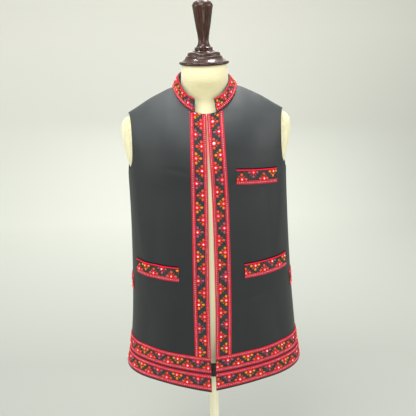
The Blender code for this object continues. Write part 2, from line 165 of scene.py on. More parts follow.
def between(tree, value, low, high):
    """0 below low, 1 above high."""
    return add_node(tree, "ShaderNodeMapRange", i0=value, i1=low, i2=high).outputs[0]


def axes_of(tree, vector):
    """The three numbers of a vector."""
    return add_node(tree, "ShaderNodeSeparateXYZ", i0=vector).outputs


def mix_colours(tree, share, first, second):
    """Output of a colour Mix node, the first colour where the share is 0."""
    made = add_node(tree, "ShaderNodeMix", {"data_type": "RGBA"}, i0=share, i6=first, i7=second)
    return made.outputs[2]


def srgb(red, green, blue):
    """Linear colour of a screen colour given from 0 to 255."""
    def linear(value):
        value /= 255
        return value / 12.92 if value <= 0.04045 else ((value + 0.055) / 1.055) ** 2.4
    return (linear(red), linear(green), linear(blue), 1.0)

# %% [markdown]
# Each finish has its own Principled shader. Colours vary a little over the surface through noise, and
# fine relief comes from a Bump node. Numbers that are the same everywhere sit on the shader itself.

# %% Material helpers
def noise(tree, vector, scale, detail=3.0):
    return add_node(tree, "ShaderNodeTexNoise", Vector=vector, Scale=scale, Detail=detail).outputs["Fac"]


def new_material(name, **constants):
    """A material with its shader's constant values set, and the tree and the shader to work on."""
    made = bpy.data.materials.new(name)
    made.use_nodes = True
    shader = made.node_tree.nodes["Principled BSDF"]
    for label, value in constants.items():
        shader.inputs[label.replace("_", " ")].default_value = value
    return made, made.node_tree, shader


def map_of(tree, name="cloth_map"):
    return add_node(tree, "ShaderNodeUVMap", {"uv_map": name}).outputs["UV"]


def object_place(tree):
    return add_node(tree, "ShaderNodeTexCoord").outputs["Object"]


def group_node(tree, group, **sockets):
    return add_node(tree, "ShaderNodeGroup", {"node_tree": group}, **sockets)


def stretched(tree, vector, scale):
    """The vector scaled by three numbers."""
    return add_node(tree, "ShaderNodeMapping", Vector=vector, Scale=scale).outputs["Vector"]


def relief(tree, shader, height, distance, strength=1.0):
    """Feeds a height to the shader's normal."""
    bump = add_node(tree, "ShaderNodeBump", Height=height, Distance=distance, Strength=strength)
    tree.links.new(bump.outputs["Normal"], shader.inputs["Normal"])


def coloured(tree, shader, share, first, second):
    """Feeds a mix of two colours to the shader's base colour."""
    tree.links.new(mix_colours(tree, share, first, second), shader.inputs["Base Color"])

# %% [markdown]
# ## Floor, backdrop and light
# A pale floor that sweeps up into a pale wall, as in a photo studio. It is a plane whose far edge is
# extruded up and rounded with a bevel. It is only the stage, so it is no part of the vest.

# %% Floor
FLOOR_HALF = 4.0
WALL_Y = 3.2
WALL_HEIGHT = 4.5
SWEEP = 1.2                      # how far before the wall the floor starts to curve up
NEAR = 0.001                     # tolerance for finding the far edge

choose()
bpy.ops.mesh.primitive_plane_add(size=2 * FLOOR_HALF, location=(0, WALL_Y - FLOOR_HALF, 0))
floor = bpy.context.object
floor.name = "floor"
bpy.ops.object.transform_apply(location=True)


def at_wall_foot(edge):
    ends = [floor.data.vertices[index].co for index in edge.vertices]
    return all(end.y > WALL_Y - NEAR and end.z < NEAR for end in ends)


pick("edges", at_wall_foot)
bpy.ops.mesh.extrude_region_move(TRANSFORM_OT_translate={"value": (0, 0, WALL_HEIGHT)})
pick("edges", at_wall_foot)
bpy.ops.mesh.bevel(offset=SWEEP, segments=16)
bpy.ops.object.mode_set(mode="OBJECT")
finish_piece(floor, 60)
print("floor faces:", len(floor.data.polygons))

# %% [markdown]
# The paint grows paler towards the wall and up it, and a little darker to the right, so that the
# ground behind the vest looks as evenly soft as the photographer's. The darker foot of the wall and
# its darker right side are painted shade, where the studio's light falls off.

# %% Studio paint
PALER_Y = (0.6, 2.2)             # the floor turns into wall between these distances back
DARKER_X = (0.2, 1.5)            # the wall darkens between these distances to the right
WALL_TOP = 0.9                   # height of the wall's palest tone
paint, tree, shader = new_material("studio_paint", Roughness=0.9)
place = axes_of(tree, object_place(tree))
# painted shade: darker at the wall's foot and towards its right, where the light falls off
rise = between(tree, place[2], 0.0, WALL_TOP)
away = between(tree, place[1], *PALER_Y)
right_shade = between(tree, place[0], *DARKER_X)
wall_foot = mix_colours(tree, right_shade, srgb(212, 214, 204), srgb(180, 182, 173))
wall_top = mix_colours(tree, right_shade, srgb(229, 229, 218), srgb(212, 212, 202))
coloured(tree, shader, away, srgb(164, 166, 158), mix_colours(tree, rise, wall_foot, wall_top))
floor.data.materials.append(paint)
print("paint:", paint.name)

# %% [markdown]
# Large soft lights stand in front and at both sides. Two small ones behind the cap give its lacquer
# the bright patches that the photo shows, and one lights the back. A grey sky fills the shadows.

# %% Lights
def soft_light(name, place, aim, size, watts):
    """A square area light that faces a point."""
    data = bpy.data.lights.new(name, "AREA")
    data.size = size
    data.energy = watts
    light = bpy.data.objects.new(name, data)
    light.location = place
    light.rotation_euler = (Vector(aim) - Vector(place)).to_track_quat("-Z", "Y").to_euler()
    bpy.context.scene.collection.objects.link(light)


CHEST = (0, 0, 0.75)
CAP = (0, 0, 1.04)
LIGHTS = table(
    "name place aim size watts",
    ("key", (-0.6, -1.3, 3.0), (0, -0.05, 0.95), 1.5, 46),
    ("front", (0.3, -2.8, 0.9), CHEST, 1.6, 20),
    ("left_side", (-2.6, -0.6, 1.6), CHEST, 1.8, 30),
    ("right_side", (2.6, -0.6, 1.7), CHEST, 1.8, 40),
    ("cap_glow_right", (0.39, 0.62, 2.47), CAP, 0.45, 20),
    ("cap_glow_left", (-0.5, 0.4, 2.4), CAP, 0.25, 8),
    ("rear_fill", (0.1, 2.5, 1.6), CHEST, 1.8, 18),
)
for row in LIGHTS:
    soft_light(**row)
world = bpy.data.worlds.new("studio")
world.use_nodes = True
sky = world.node_tree.nodes["Background"]
sky.inputs["Color"].default_value = (0.93, 0.95, 0.95, 1)
sky.inputs["Strength"].default_value = 0.58
bpy.context.scene.world = world
bpy.context.scene.view_settings.view_transform = "Standard"
print("lights placed:", len(LIGHTS))

# %% [markdown]
# ## The vest's sizes
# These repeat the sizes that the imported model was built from, so that the fine cloth lies exactly
# where the plain one does. Heights of the garment are measured from its hem. Left and right are the
# viewer's.

# %% Sizes of the garment
LEFT, RIGHT = -1, 1              # also the sign of x on that side
HEM_HEIGHT = 0.300               # of the hem above the floor
CLOTH = 0.0020
SEAM = 0.0003
UNDERARM = 0.482                 # foot of the armholes
CHEST_HALF = 0.1808              # half of the chest's width
CHEST_FRONT = 0.135              # depth of the body before its middle plane, at the armholes' foot
CHEST_BACK = 0.108
FRONT_SLOPE = 1.76               # how early the chest leans back towards the shoulders, in the middle
SHOULDER_FULLNESS = 0.80         # and how much later it does so at the sides
BACK_FULLNESS = 0.75             # below 1 the back stays upright longer
NECK_HALF = 0.0700
NECK_FRONT = 0.0715
NECK_BACK = 0.066
SHOULDER_TIP = 0.1755
THROAT_CREST = 0.6712            # height that the middle of the chest would reach at the neck
NAPE_RISE = 0.040                # how much higher the back's middle is than the shoulders' crest
HANG_TOP = 0.300                 # below this the open fronts hang forward and down
HANG_POWER = 1.5                 # and they do so faster towards the hem
RIDGE = 0.012                    # how far forward the front edges stand at the hem
EDGE_DROPS = dict(left=0.0175, right=0.0125)
DROP_REACHES = dict(left=0.140, right=0.120)

OUTLINE = table(
    "height left right front back",
    (0.000, 0.2085, 0.2125, 0.1365, 0.1300),
    (0.030, 0.2015, 0.2090, 0.1370, 0.1270),
    (0.070, 0.1955, 0.2030, 0.1380, 0.1235),
    (0.130, 0.1895, 0.1975, 0.1405, 0.1190),
    (0.200, 0.1853, 0.1920, 0.1440, 0.1140),
    (0.285, 0.1822, 0.1872, 0.1460, 0.1085),
    (0.380, 0.1803, 0.1833, 0.1425, 0.1065),
    (UNDERARM, CHEST_HALF, CHEST_HALF, CHEST_FRONT, CHEST_BACK),
    (0.584, 0.1803, 0.1833, 0.1425, 0.1065),
)
EDGES = table(
    "height left right",
    (0.000, 0.0072, 0.0030), (0.060, 0.0072, 0.0034), (0.210, 0.0062, 0.0064), (0.440, 0.0026, 0.0058),
    (0.550, 0.0014, 0.0022), (0.620, 0.0008, 0.0010),
)
SHOULDER = table(
    "out height",
    (0.0460, 0.6712), (0.0520, 0.6712), (0.0580, 0.6710), (0.0640, 0.6703), (0.0700, 0.6691),
    (0.0760, 0.6675), (0.0820, 0.66545), (0.0880, 0.6629), (0.0985, 0.6580), (0.1250, 0.6450),
    (0.1570, 0.6255), (SHOULDER_TIP, 0.6145), (0.2000, 0.5980),
)
ARMHOLE = table(
    "share front back",
    (0.000, CHEST_HALF, CHEST_HALF), (0.055, 0.1755, 0.1790), (0.120, 0.1695, 0.1755),
    (0.200, 0.1672, 0.1720), (0.320, 0.1665, 0.1685), (0.450, 0.1668, 0.1672),
    (0.600, 0.1682, 0.1680), (0.800, 0.1715, 0.1712), (1.000, SHOULDER_TIP, SHOULDER_TIP),
)
CENTRE_SHARE = 7 / 13            # of the chest's rows, those that end at the front edge, not the neck


def follow(table, key, column, value):
    """Smooth values of a table's column where its key has the given values."""
    keys = np.array([row[key] for row in table])
    values = np.array([row[column] for row in table])
    spot = np.clip(value, keys[0], keys[-1])
    low = np.clip(np.searchsorted(keys, spot, side="right") - 1, 0, len(keys) - 2)
    before, after = np.maximum(low - 1, 0), np.minimum(low + 2, len(keys) - 1)
    span = keys[low + 1] - keys[low]
    share = (spot - keys[low]) / span
    slope_start = (values[low + 1] - values[before]) / (keys[low + 1] - keys[before]) * span
    slope_end = (values[after] - values[low]) / (keys[after] - keys[low]) * span
    square, cube = share ** 2, share ** 3
    return ((2 * cube - 3 * square + 1) * values[low] + (cube - 2 * square + share) * slope_start
            + (3 * square - 2 * cube) * values[low + 1] + (cube - square) * slope_end)


print("chest width", 2 * CHEST_HALF, "height of the shoulder tips above the hem", SHOULDER[-2]["height"])

# %% [markdown]
# ## The surface of the cloth
# Below the armholes the body is a smooth oval tube. Above them it turns in to the shoulder seams.
# Two functions give a point of either part from a turn round the body and a height or a climb.

# %% Surface functions
def side_name(side):
    return "right" if side == RIGHT else "left"


def lean(turn, back):
    """Exponent that sets how early the cloth turns back towards the shoulder seam."""
    return np.ones_like(turn) if back else FRONT_SLOPE - SHOULDER_FULLNESS * np.sin(np.radians(turn)) ** 2


def body_point(side, turn, height, back):
    """Points below the armholes; turn is 0 in the middle and 90 at the side seam."""
    half = follow(OUTLINE, "height", side_name(side), height)
    depth = follow(OUTLINE, "height", "back" if back else "front", height)
    out = half * np.sin(np.radians(turn))
    y = depth * np.cos(np.radians(turn)) + SEAM / 2
    z = height + 0 * out
    if not back:
        hang = np.maximum(0.0, 1.0 - height / HANG_TOP) ** HANG_POWER
        y = y + RIDGE * hang * (1.0 - out / half)
        reach = np.maximum(0.0, 1.0 - out / DROP_REACHES[side_name(side)])
        z = z - EDGE_DROPS[side_name(side)] * hang * reach ** 1.3
    return np.stack((side * out, y if back else -y, z), axis=-1)


def chest_point(side, turn, climb, back):
    """Points above them; climb is 0 at the armhole's foot and 90 on the shoulder seam."""
    out = CHEST_HALF * np.sin(np.radians(turn))
    depth, rise = (CHEST_BACK, BACK_FULLNESS) if back else (CHEST_FRONT, 1.0)
    up = np.radians(climb)
    y = depth * np.cos(np.radians(turn)) * np.maximum(np.cos(up), 0.0) ** lean(turn, back) + SEAM / 2
    crest = follow(SHOULDER, "out", "height", out)
    if back:
        crest = crest + NAPE_RISE * np.cos(np.minimum(out / NECK_HALF, 1.0) * np.pi / 2) ** 1.2
    z = UNDERARM + (crest - UNDERARM) * np.maximum(np.sin(up), 0.0) ** rise
    return np.stack((side * out, y if back else -y, z), axis=-1)


def edge_turn(side, height):
    """Turn of the front edge at a height."""
    edge = follow(EDGES, "height", side_name(side), height)
    half = follow(OUTLINE, "height", side_name(side), np.minimum(height, UNDERARM))
    return np.degrees(np.arcsin(edge / half))


def neckline(angle, back, shrink=0.0):
    """Turn and climb of the neckline at an angle round the neck, 0 in the middle and 90 at the shoulder."""
    out = (NECK_HALF - shrink) * np.sin(np.radians(angle))
    along = ((NECK_BACK if back else NECK_FRONT) - shrink) * np.cos(np.radians(angle))
    turn = np.arcsin(out / CHEST_HALF)
    share = along / ((CHEST_BACK if back else CHEST_FRONT) * np.cos(turn))
    turn = np.degrees(turn)
    return turn, np.degrees(np.arccos(np.clip(np.maximum(share, 0.0) ** (1 / lean(turn, back)), 0, 1)))


def grid_normals(grid, outward):
    """Unit normals of a grid of points, rows upward and columns away from the middle."""
    along = np.gradient(grid, axis=1)
    up = np.gradient(grid, axis=0)
    normal = np.cross(along, up) * outward
    return normal / np.linalg.norm(normal, axis=-1, keepdims=True)


hem = np.array(0.0)
print("hem corner of the left front:", body_point(LEFT, edge_turn(LEFT, hem), hem, False))

# %% [markdown]
# ## How the cloth hangs
# Suiting stays smooth, so its folds are few, broad and shallow: drag lines below the shoulders, soft
# flutes at the sides and faint creases near the pocket. Each row of the tables is one soft ridge or
# trough. Everything that lies on the cloth is moved by the same folds.

# %% Folds and creases
# out and height are the middle of the fold and lean its degrees from upright. Length, width and depth
# are its size in metres, where a depth above zero is a ridge. Bow is how far its middle stands off the
# straight line.
FRONT_FOLDS = table(
    "out height lean length width depth bow",
    (0.092, 0.585, -24, 0.135, 0.021, 0.0026, 0.006),
    (0.058, 0.560, -16, 0.120, 0.016, -0.0012, 0.004),
    (-0.088, 0.590, 26, 0.120, 0.020, 0.0022, -0.005),
    (-0.125, 0.545, 14, 0.110, 0.014, -0.0010, 0.004),
    (0.060, 0.476, 84, 0.040, 0.0040, -0.0010, 0.002),
    (-0.066, 0.500, -80, 0.085, 0.0060, -0.0009, 0.004),
    (-0.110, 0.478, -70, 0.060, 0.0070, 0.0007, -0.003),
    (0.152, 0.400, 3, 0.270, 0.013, 0.0030, 0.005),
    (0.132, 0.360, -2, 0.230, 0.010, -0.0018, 0.004),
    (-0.150, 0.380, -4, 0.300, 0.012, 0.0026, -0.004),
    (-0.126, 0.330, 2, 0.260, 0.012, -0.0016, 0.005),
    (0.095, 0.130, -6, 0.240, 0.022, 0.0024, 0.006),
    (0.150, 0.110, -10, 0.220, 0.016, -0.0026, 0.004),
    (-0.092, 0.140, 7, 0.260, 0.024, 0.0022, -0.005),
    (-0.150, 0.100, 9, 0.200, 0.015, -0.0022, -0.004),
    (0.100, 0.215, 76, 0.090, 0.0070, -0.0008, 0.005),
    (-0.085, 0.225, -78, 0.070, 0.0060, -0.0007, -0.004),
)
BACK_FOLDS = table(
    "out height lean length width depth bow",
    (0.085, 0.560, -18, 0.150, 0.024, 0.0024, -0.008),
    (-0.080, 0.570, 21, 0.140, 0.021, 0.0026, 0.007),
    (0.012, 0.610, 88, 0.090, 0.0080, -0.0012, -0.006),
    (0.050, 0.380, -5, 0.250, 0.022, -0.0020, 0.006),
    (-0.042, 0.350, 6, 0.280, 0.020, -0.0018, -0.005),
    (0.118, 0.330, -3, 0.290, 0.018, 0.0032, 0.006),
    (-0.122, 0.350, 4, 0.260, 0.017, 0.0030, -0.005),
    (0.075, 0.262, 80, 0.110, 0.0080, -0.0010, 0.006),
    (-0.060, 0.275, -83, 0.130, 0.0090, -0.0011, -0.005),
    (0.060, 0.100, -4, 0.230, 0.026, 0.0034, 0.006),
    (-0.010, 0.090, 2, 0.200, 0.022, -0.0024, -0.004),
    (-0.075, 0.110, 5, 0.240, 0.024, 0.0032, 0.005),
    (0.135, 0.100, -8, 0.210, 0.017, -0.0028, 0.004),
    (-0.140, 0.095, 8, 0.200, 0.016, -0.0026, -0.004),
)


def fold_depth(points, back):
    """How far the folds move the cloth out at these points."""
    total = np.zeros(points.shape[:-1])
    for fold in BACK_FOLDS if back else FRONT_FOLDS:
        angle = math.radians(fold["lean"])
        x, z = points[..., 0] - fold["out"], points[..., 2] - fold["height"]
        run = (x * math.sin(angle) + z * math.cos(angle)) / (fold["length"] / 2)
        off = x * math.cos(angle) - z * math.sin(angle) - fold["bow"] * (1 - run ** 2)
        fade = np.clip(1 - run ** 2, 0, 1) ** 1.5
        total += fold["depth"] * fade * np.exp(-(off / fold["width"]) ** 2)
    return total


def settle(grid, outward, back):
    """The grid moved by the folds, with its normals afterwards."""
    moved = grid + grid_normals(grid, outward) * fold_depth(grid, back)[..., None]
    return moved, grid_normals(moved, outward)


print("folds:", len(FRONT_FOLDS), "in front,", len(BACK_FOLDS), "behind")

# %% [markdown]
# ## Thin shells
# A cloth panel is a closed shell: one grid of points outside, one inside, joined along their rim. The
# two draw together over the last millimetre, as a turned and pressed edge does. The map of every
# shell is in metres along and across the cloth, so that a weave keeps its size. A plane could be pulled
# to shape and thickened with a Solidify modifier, but its rim would stay square, and a ribbon could not
# follow its every fold. So the points are worked out here.

# %% Shell helpers
EDGE_ROUND = 0.0012              # how far in from its rim a panel's thickness is rounded
PLAIN_FROM = 0.012               # share of a panel's width where its even steps begin


def travelled(grid, axis):
    """Distance covered along an axis of the grid, from its first point."""
    steps = np.linalg.norm(np.diff(grid, axis=axis), axis=-1)
    start = np.zeros_like(np.take(steps, [0], axis=axis))
    return np.concatenate((start, np.cumsum(steps, axis=axis)), axis=axis)


def edge_profile(grid):
    """From 0 on the rim to 1 once inside it, rounded like a pressed edge."""
    along, up = travelled(grid, 1), travelled(grid, 0)
    nearest = np.minimum(np.minimum(along, along[:, -1:] - along), np.minimum(up, up[-1:] - up))
    return np.sqrt(1 - (1 - np.minimum(nearest / EDGE_ROUND, 1)) ** 2)


def grid_faces(ids):
    """Quads between neighbouring points of a grid of point numbers."""
    return np.stack((ids[:-1, :-1], ids[:-1, 1:], ids[1:, 1:], ids[1:, :-1]), axis=-1).reshape(-1, 4)


def closed_shell(name, outside, inside, outward, finish, along=None, up=None):
    """A piece between two grids of points that share their rim, in the row frame."""
    rows, columns = outside.shape[:2]
    outer_ids = np.arange(rows * columns).reshape(rows, columns)
    inner_ids = outer_ids + rows * columns
    for rim in (np.s_[0, :], np.s_[-1, :], np.s_[:, 0], np.s_[:, -1]):
        inner_ids[rim] = outer_ids[rim]
    turned_out, turned_in = int(outward), -int(outward)
    faces = np.concatenate((grid_faces(outer_ids)[:, ::turned_out], grid_faces(inner_ids)[:, ::turned_in]))
    points = np.concatenate((outside.reshape(-1, 3), inside.reshape(-1, 3)))
    used, faces = np.unique(faces, return_inverse=True)
    faces = faces.reshape(-1, 4)
    points = points[used] + (0, 0, HEM_HEIGHT)
    mesh = bpy.data.meshes.new(name)
    mesh.from_pydata(points.tolist(), [], faces.tolist())
    along = travelled(outside, 1) if along is None else along
    up = travelled(outside, 0) if up is None else up
    places = np.tile(np.stack((along, up), axis=-1).reshape(-1, 2), (2, 1))[used]
    uv = mesh.uv_layers.new(name="cloth_map")
    uv.data.foreach_set("uv", places[faces.reshape(-1)].astype(np.float32).reshape(-1))
    mesh.materials.append(finish)
    mesh.shade_smooth()
    return shown(name, mesh)


def spread(count, margin=(0.0007, 0.0018, 0.0036, 0.0065)):
    """Shares from 0 to 1, with close steps at both ends for the rounded rim."""
    margin = np.array(margin)
    middle = np.linspace(PLAIN_FROM, 1 - PLAIN_FROM, count)
    return np.concatenate(([0.0], margin, middle, 1 - margin[::-1], [1.0]))


def surface_area(piece):
    """Area of a closed shell's one side."""
    return sum(polygon.area for polygon in piece.data.polygons) / 2


print("rim radius", EDGE_ROUND)

# %% [markdown]
# ## Shared effects
# A twill weave and satin stitches show in several materials, so they are shader node groups. They put
# out heights and shades only, and each material sets its own pitch. Every shader stays in its material.
# An image of cloth could serve too, but waves stay sharp however close the view is.

# %% Weave group
def new_group(name, inputs, outputs):
    """An empty shader group with number inputs, one vector input and number outputs."""
    group = bpy.data.node_groups.new(name, "ShaderNodeTree")
    group.interface.new_socket(name="Vector", in_out="INPUT", socket_type="NodeSocketVector")
    for label, value in inputs.items():
        socket = group.interface.new_socket(name=label, in_out="INPUT", socket_type="NodeSocketFloat")
        socket.default_value = value
    for label in outputs:
        group.interface.new_socket(name=label, in_out="OUTPUT", socket_type="NodeSocketFloat")
    start = group.nodes.new("NodeGroupInput")
    end = group.nodes.new("NodeGroupOutput")
    return group, start, end


def wave_of(tree, value, pitch):
    """Sine of a length, one turn for each pitch."""
    turns = calculate(tree, "DIVIDE", value, pitch)
    return calculate(tree, "SINE", multiply(tree, turns, 2 * math.pi))


weave, weave_in, weave_out = new_group("twill_weave", {"Pitch": 0.0006}, ("Height", "Slub"))
pitch = weave_in.outputs["Pitch"]
parts = axes_of(weave, weave_in.outputs["Vector"])
warp = wave_of(weave, parts[0], pitch)
weft = wave_of(weave, parts[1], pitch)
rib = wave_of(weave, plus(weave, parts[0], parts[1]), multiply(weave, pitch, 2.0))
crossing = multiply(weave, warp, weft)
slub = noise(weave, weave_in.outputs["Vector"], 900.0, 2.0)
raised = plus(weave, multiply(weave, crossing, 0.5), plus(weave, rib, slub))
weave.links.new(raised, weave_out.inputs["Height"])
weave.links.new(slub, weave_out.inputs["Slub"])

# %% [markdown]
# Satin stitch is a row of parallel threads that lean a little. A slanted wave gives the threads, and
# noise lets them wander as a hand's do.

# %% Satin stitch group
satin, satin_in, satin_out = new_group("satin_stitch", {"Pitch": 0.0007, "Slant": 0.25}, ("Height",))
parts = axes_of(satin, satin_in.outputs["Vector"])
slant = multiply(satin, parts[1], satin_in.outputs["Slant"])
wobble = noise(satin, satin_in.outputs["Vector"], 420.0, 1.0)
thread = plus(satin, plus(satin, parts[0], slant), multiply(satin, wobble, 0.0004))
stitch = calculate(satin, "ABSOLUTE", wave_of(satin, thread, satin_in.outputs["Pitch"]))
satin.links.new(stitch, satin_out.inputs["Height"])
print("groups:", weave.name, satin.name)

# %% [markdown]
# ## Materials
# The suiting is almost black, and a fine twill shows in the light. Over the shoulders it has a
# painted sheen: a paler tone where the light from above falls. The paler tone is mixed in by height,
# with noise to break its edge.

# %% Black suiting
# heights over which the painted sheen of the shoulders sets in
SHEEN_HEIGHTS = (0.88, 1.00)
suiting, tree, shader = new_material("black_suiting", Roughness=0.48, Specular_IOR_Level=0.42)
place = map_of(tree)
cloth = group_node(tree, weave, Vector=place, Pitch=0.0007)
patch = noise(tree, object_place(tree), 7.0)
tone = plus(tree, multiply(tree, patch, 0.6), multiply(tree, cloth.outputs["Slub"], 0.4))
height = axes_of(tree, object_place(tree))[2]
# painted sheen: the cloth grows paler towards the shoulders, where the light from above falls
sheen_share = between(tree, plus(tree, height, multiply(tree, patch, 0.06)), *SHEEN_HEIGHTS)
deep = mix_colours(tree, tone, srgb(20, 24, 25), srgb(34, 38, 38))
pale = mix_colours(tree, tone, srgb(58, 62, 62), srgb(80, 84, 84))
coloured(tree, shader, sheen_share, deep, pale)
relief(tree, shader, cloth.outputs["Height"], 0.00012, 0.35)

# %% [markdown]
# The linen is stretched. Darker streaks on the arm plates are painted shade of its fine folds. Painted
# light makes it brightest in the open front, where it lies between the fronts, and paler under the cap,
# where the brim's shadow falls; round the neck painted shade makes it a tone deeper. Each tone is
# mixed in by its place on the form.

# %% Linen of the form
PLATE_FROM = (0.150, 0.170)      # distances from the middle where the arm plates' streaks set in
LIT_GAP_STRIP = (0.016, 0.008)       # the strip that shows between the fronts
NECK_HEIGHTS = (0.90, 0.96)
CAP_HEIGHTS = (0.985, 1.016)
linen, tree, shader = new_material("linen_cover", Roughness=0.82, Sheen_Weight=0.45, Sheen_Roughness=0.5,
                                   Specular_IOR_Level=0.2)
place = object_place(tree)
lines = noise(tree, stretched(tree, place, (60, 60, 1400)), 1.0, 2.0)
mottle = noise(tree, place, 30.0)
shade = between(tree, plus(tree, multiply(tree, lines, 0.55), multiply(tree, mottle, 0.45)), 0.3, 0.7)
spot = axes_of(tree, place)
outward = calculate(tree, "ABSOLUTE", spot[0])
streaks = noise(tree, stretched(tree, place, (420, 420, 11)), 1.0, 2.0)
# painted shade: darker upright streaks where the jersey on the arm plates folds
plate_fold_shade = multiply(tree, between(tree, outward, *PLATE_FROM), between(tree, streaks, 0.45, 0.62))
plain = mix_colours(tree, shade, srgb(220, 213, 172), srgb(238, 233, 196))
body = mix_colours(tree, multiply(tree, plate_fold_shade, 0.55), plain, srgb(196, 186, 140))
# painted light: the strip between the fronts is brightened where shade would fall
body = mix_colours(tree, between(tree, outward, *LIT_GAP_STRIP), body, srgb(254, 246, 204))
# painted shade: the neck is a tone deeper
neck = mix_colours(tree, shade, srgb(196, 188, 143), srgb(216, 208, 165))
# painted light: paler just under the cap, where the brim's shadow falls
lit_under_cap = mix_colours(tree, shade, srgb(238, 228, 180), srgb(252, 246, 204))
covered = mix_colours(tree, between(tree, spot[2], *CAP_HEIGHTS), neck, lit_under_cap)
coloured(tree, shader, between(tree, spot[2], *NECK_HEIGHTS), body, covered)
relief(tree, shader, lines, 0.0003, 0.5)

# %% [markdown]
# The cap and the base are dark lacquered wood. Noise that is stretched upright makes the fine grain,
# and the shader's coat is the lacquer over it.

# %% Lacquered wood
wood, tree, shader = new_material("lacquered_wood", Roughness=0.40, Specular_IOR_Level=0.25,
                                  Coat_Weight=0.40, Coat_Roughness=0.06)
place = object_place(tree)
grain = noise(tree, stretched(tree, place, (260, 260, 8)), 1.0, 4.0)
coloured(tree, shader, between(tree, grain, 0.36, 0.66), srgb(31, 15, 7), srgb(76, 42, 24))
relief(tree, shader, grain, 0.0003, 0.25)

# %% [markdown]
# The pole is painted cream in faint streaks, and the socket under the form is plain black with a
# speckle too fine to see but for its dull sheen.

# %% Painted pole and black socket
cream, tree, shader = new_material("painted_pole", Roughness=0.42)
place = object_place(tree)
streak = noise(tree, stretched(tree, place, (260, 260, 5)), 1.0, 2.0)
coloured(tree, shader, between(tree, streak, 0.32, 0.66), srgb(246, 238, 194), srgb(255, 253, 224))
relief(tree, shader, streak, 0.0002, 0.3)
black, tree, shader = new_material("black_socket", Roughness=0.5)
speckle = noise(tree, object_place(tree), 700.0)
coloured(tree, shader, speckle, srgb(16, 16, 17), srgb(34, 34, 35))
relief(tree, shader, speckle, 0.0001, 0.4)
print("materials:", [made.name for made in (suiting, linen, wood, cream, black)])

# %% [markdown]
# ## Fronts, back and collar
# Each panel is a dense grid on the cloth's surface. The back is one panel from side seam to side
# seam. The rim of every panel is rounded, so the seams between panels read as fine grooves. One tube
# would be simpler, but a real vest is sewn from cut pieces, and a tube would show no seams.

# %% Panels
ROWS_BELOW = 96
ROWS_ABOVE = 84
FRONT_COLUMNS = 56
BACK_COLUMNS = 44                # on each side of the back's middle
LAST_BELOW = 0.99                # shares that keep the rows at the armhole's foot from crowding
FIRST_ABOVE = 0.003


def panel_rows():
    """Positions up the panel: 0 to 1 from hem to armhole, 1 to 2 on to the shoulder seam."""
    low = spread(ROWS_BELOW)
    low = low[low <= LAST_BELOW]
    high = 1 - spread(ROWS_ABOVE, (0.0016, 0.004, 0.008))[::-1]
    return np.concatenate((low, 1 + high[high > FIRST_ABOVE]))


def half_panel(side, back, shares):
    """Grid of points of half a panel on the cloth's inner face."""
    rises = panel_rows()
    # below the armholes, from the front edge or the back's middle to the side seam
    below = rises[rises < 1] * UNDERARM
    start = np.zeros_like(below) if back else edge_turn(side, below)
    turns = start[:, None] + (90 - start)[:, None] * shares
    lower = body_point(side, turns, np.repeat(below[:, None], len(shares), axis=1), back)
    # above them, where a row's inner end lies on the front edge at first and then on the neckline
    climb_share = rises[rises >= 1] - 1
    throat = neckline(np.array(0.0), back)[1]
    centre_climb = throat * np.minimum(climb_share / CENTRE_SHARE, 1.0)
    centre_height = UNDERARM + (THROAT_CREST - UNDERARM) * np.sin(np.radians(centre_climb))
    centre_turn = 0 * centre_climb if back else edge_turn(side, centre_height)
    round_neck = np.maximum(climb_share - CENTRE_SHARE, 0) / (1 - CENTRE_SHARE) * 90
    neck_turn, neck_climb = neckline(round_neck, back)
    at_neck = climb_share > CENTRE_SHARE
    inner_turn = np.where(at_neck, np.maximum(neck_turn, centre_turn), centre_turn)
    inner_climb = np.where(at_neck, neck_climb, centre_climb)
    # and its outer end on the armhole
    outer_half = follow(ARMHOLE, "share", "back" if back else "front", climb_share)
    outer_turn = np.degrees(np.arcsin(outer_half / CHEST_HALF))
    turns = inner_turn[:, None] + (outer_turn - inner_turn)[:, None] * shares
    climbs = inner_climb[:, None] + (90 * climb_share - inner_climb)[:, None] * shares
    return np.concatenate((lower, chest_point(side, turns, climbs, back)))


def panel(name, grid, outward, back):
    """A cloth panel as a closed shell over its grid."""
    moved, normals = settle(grid, outward, back)
    half = CLOTH / 2 * edge_profile(moved)[..., None]
    return closed_shell(name, moved + normals * (CLOTH / 2 + half), moved + normals * (CLOTH / 2 - half),
                        outward, suiting)

# %% [markdown]
# The two fronts are cut alike but for their edges. The back is drawn as two halves that share the
# points of its middle.

# %% Fronts and back
fronts = {}
for side in (LEFT, RIGHT):
    grid = half_panel(side, False, spread(FRONT_COLUMNS))
    fronts[side] = panel("vest_front_" + side_name(side), grid, side, False)
back_shares = spread(BACK_COLUMNS)[1:]
back_left = half_panel(LEFT, True, back_shares)
back_right = half_panel(RIGHT, True, np.concatenate(([0.0], back_shares)))
back_grid = np.concatenate((back_left[:, ::-1], back_right), axis=1)
back = panel("vest_back", back_grid, LEFT, True)
for piece in (*fronts.values(), back):
    print(piece.name, "area", round(surface_area(piece), 4), "faces", len(piece.data.polygons))

# %% [markdown]
# The collar stands on the neckline all round and leans in towards its top edge. Its two ends stop
# short of the middle, cut on a slant, and the left one has a rounded corner.

# %% Collar sizes
GAP = 0.0003
COLLAR_THICK = 0.0016
COLLAR_LIFT = 0.0010             # of its foot above the panels
COLLAR_COLUMNS = 120
COLLAR_ROWS = 12
COLLAR_MARGIN = (0.012, 0.03, 0.06, 0.09, 0.13)   # close rows near its foot and top, for the corner
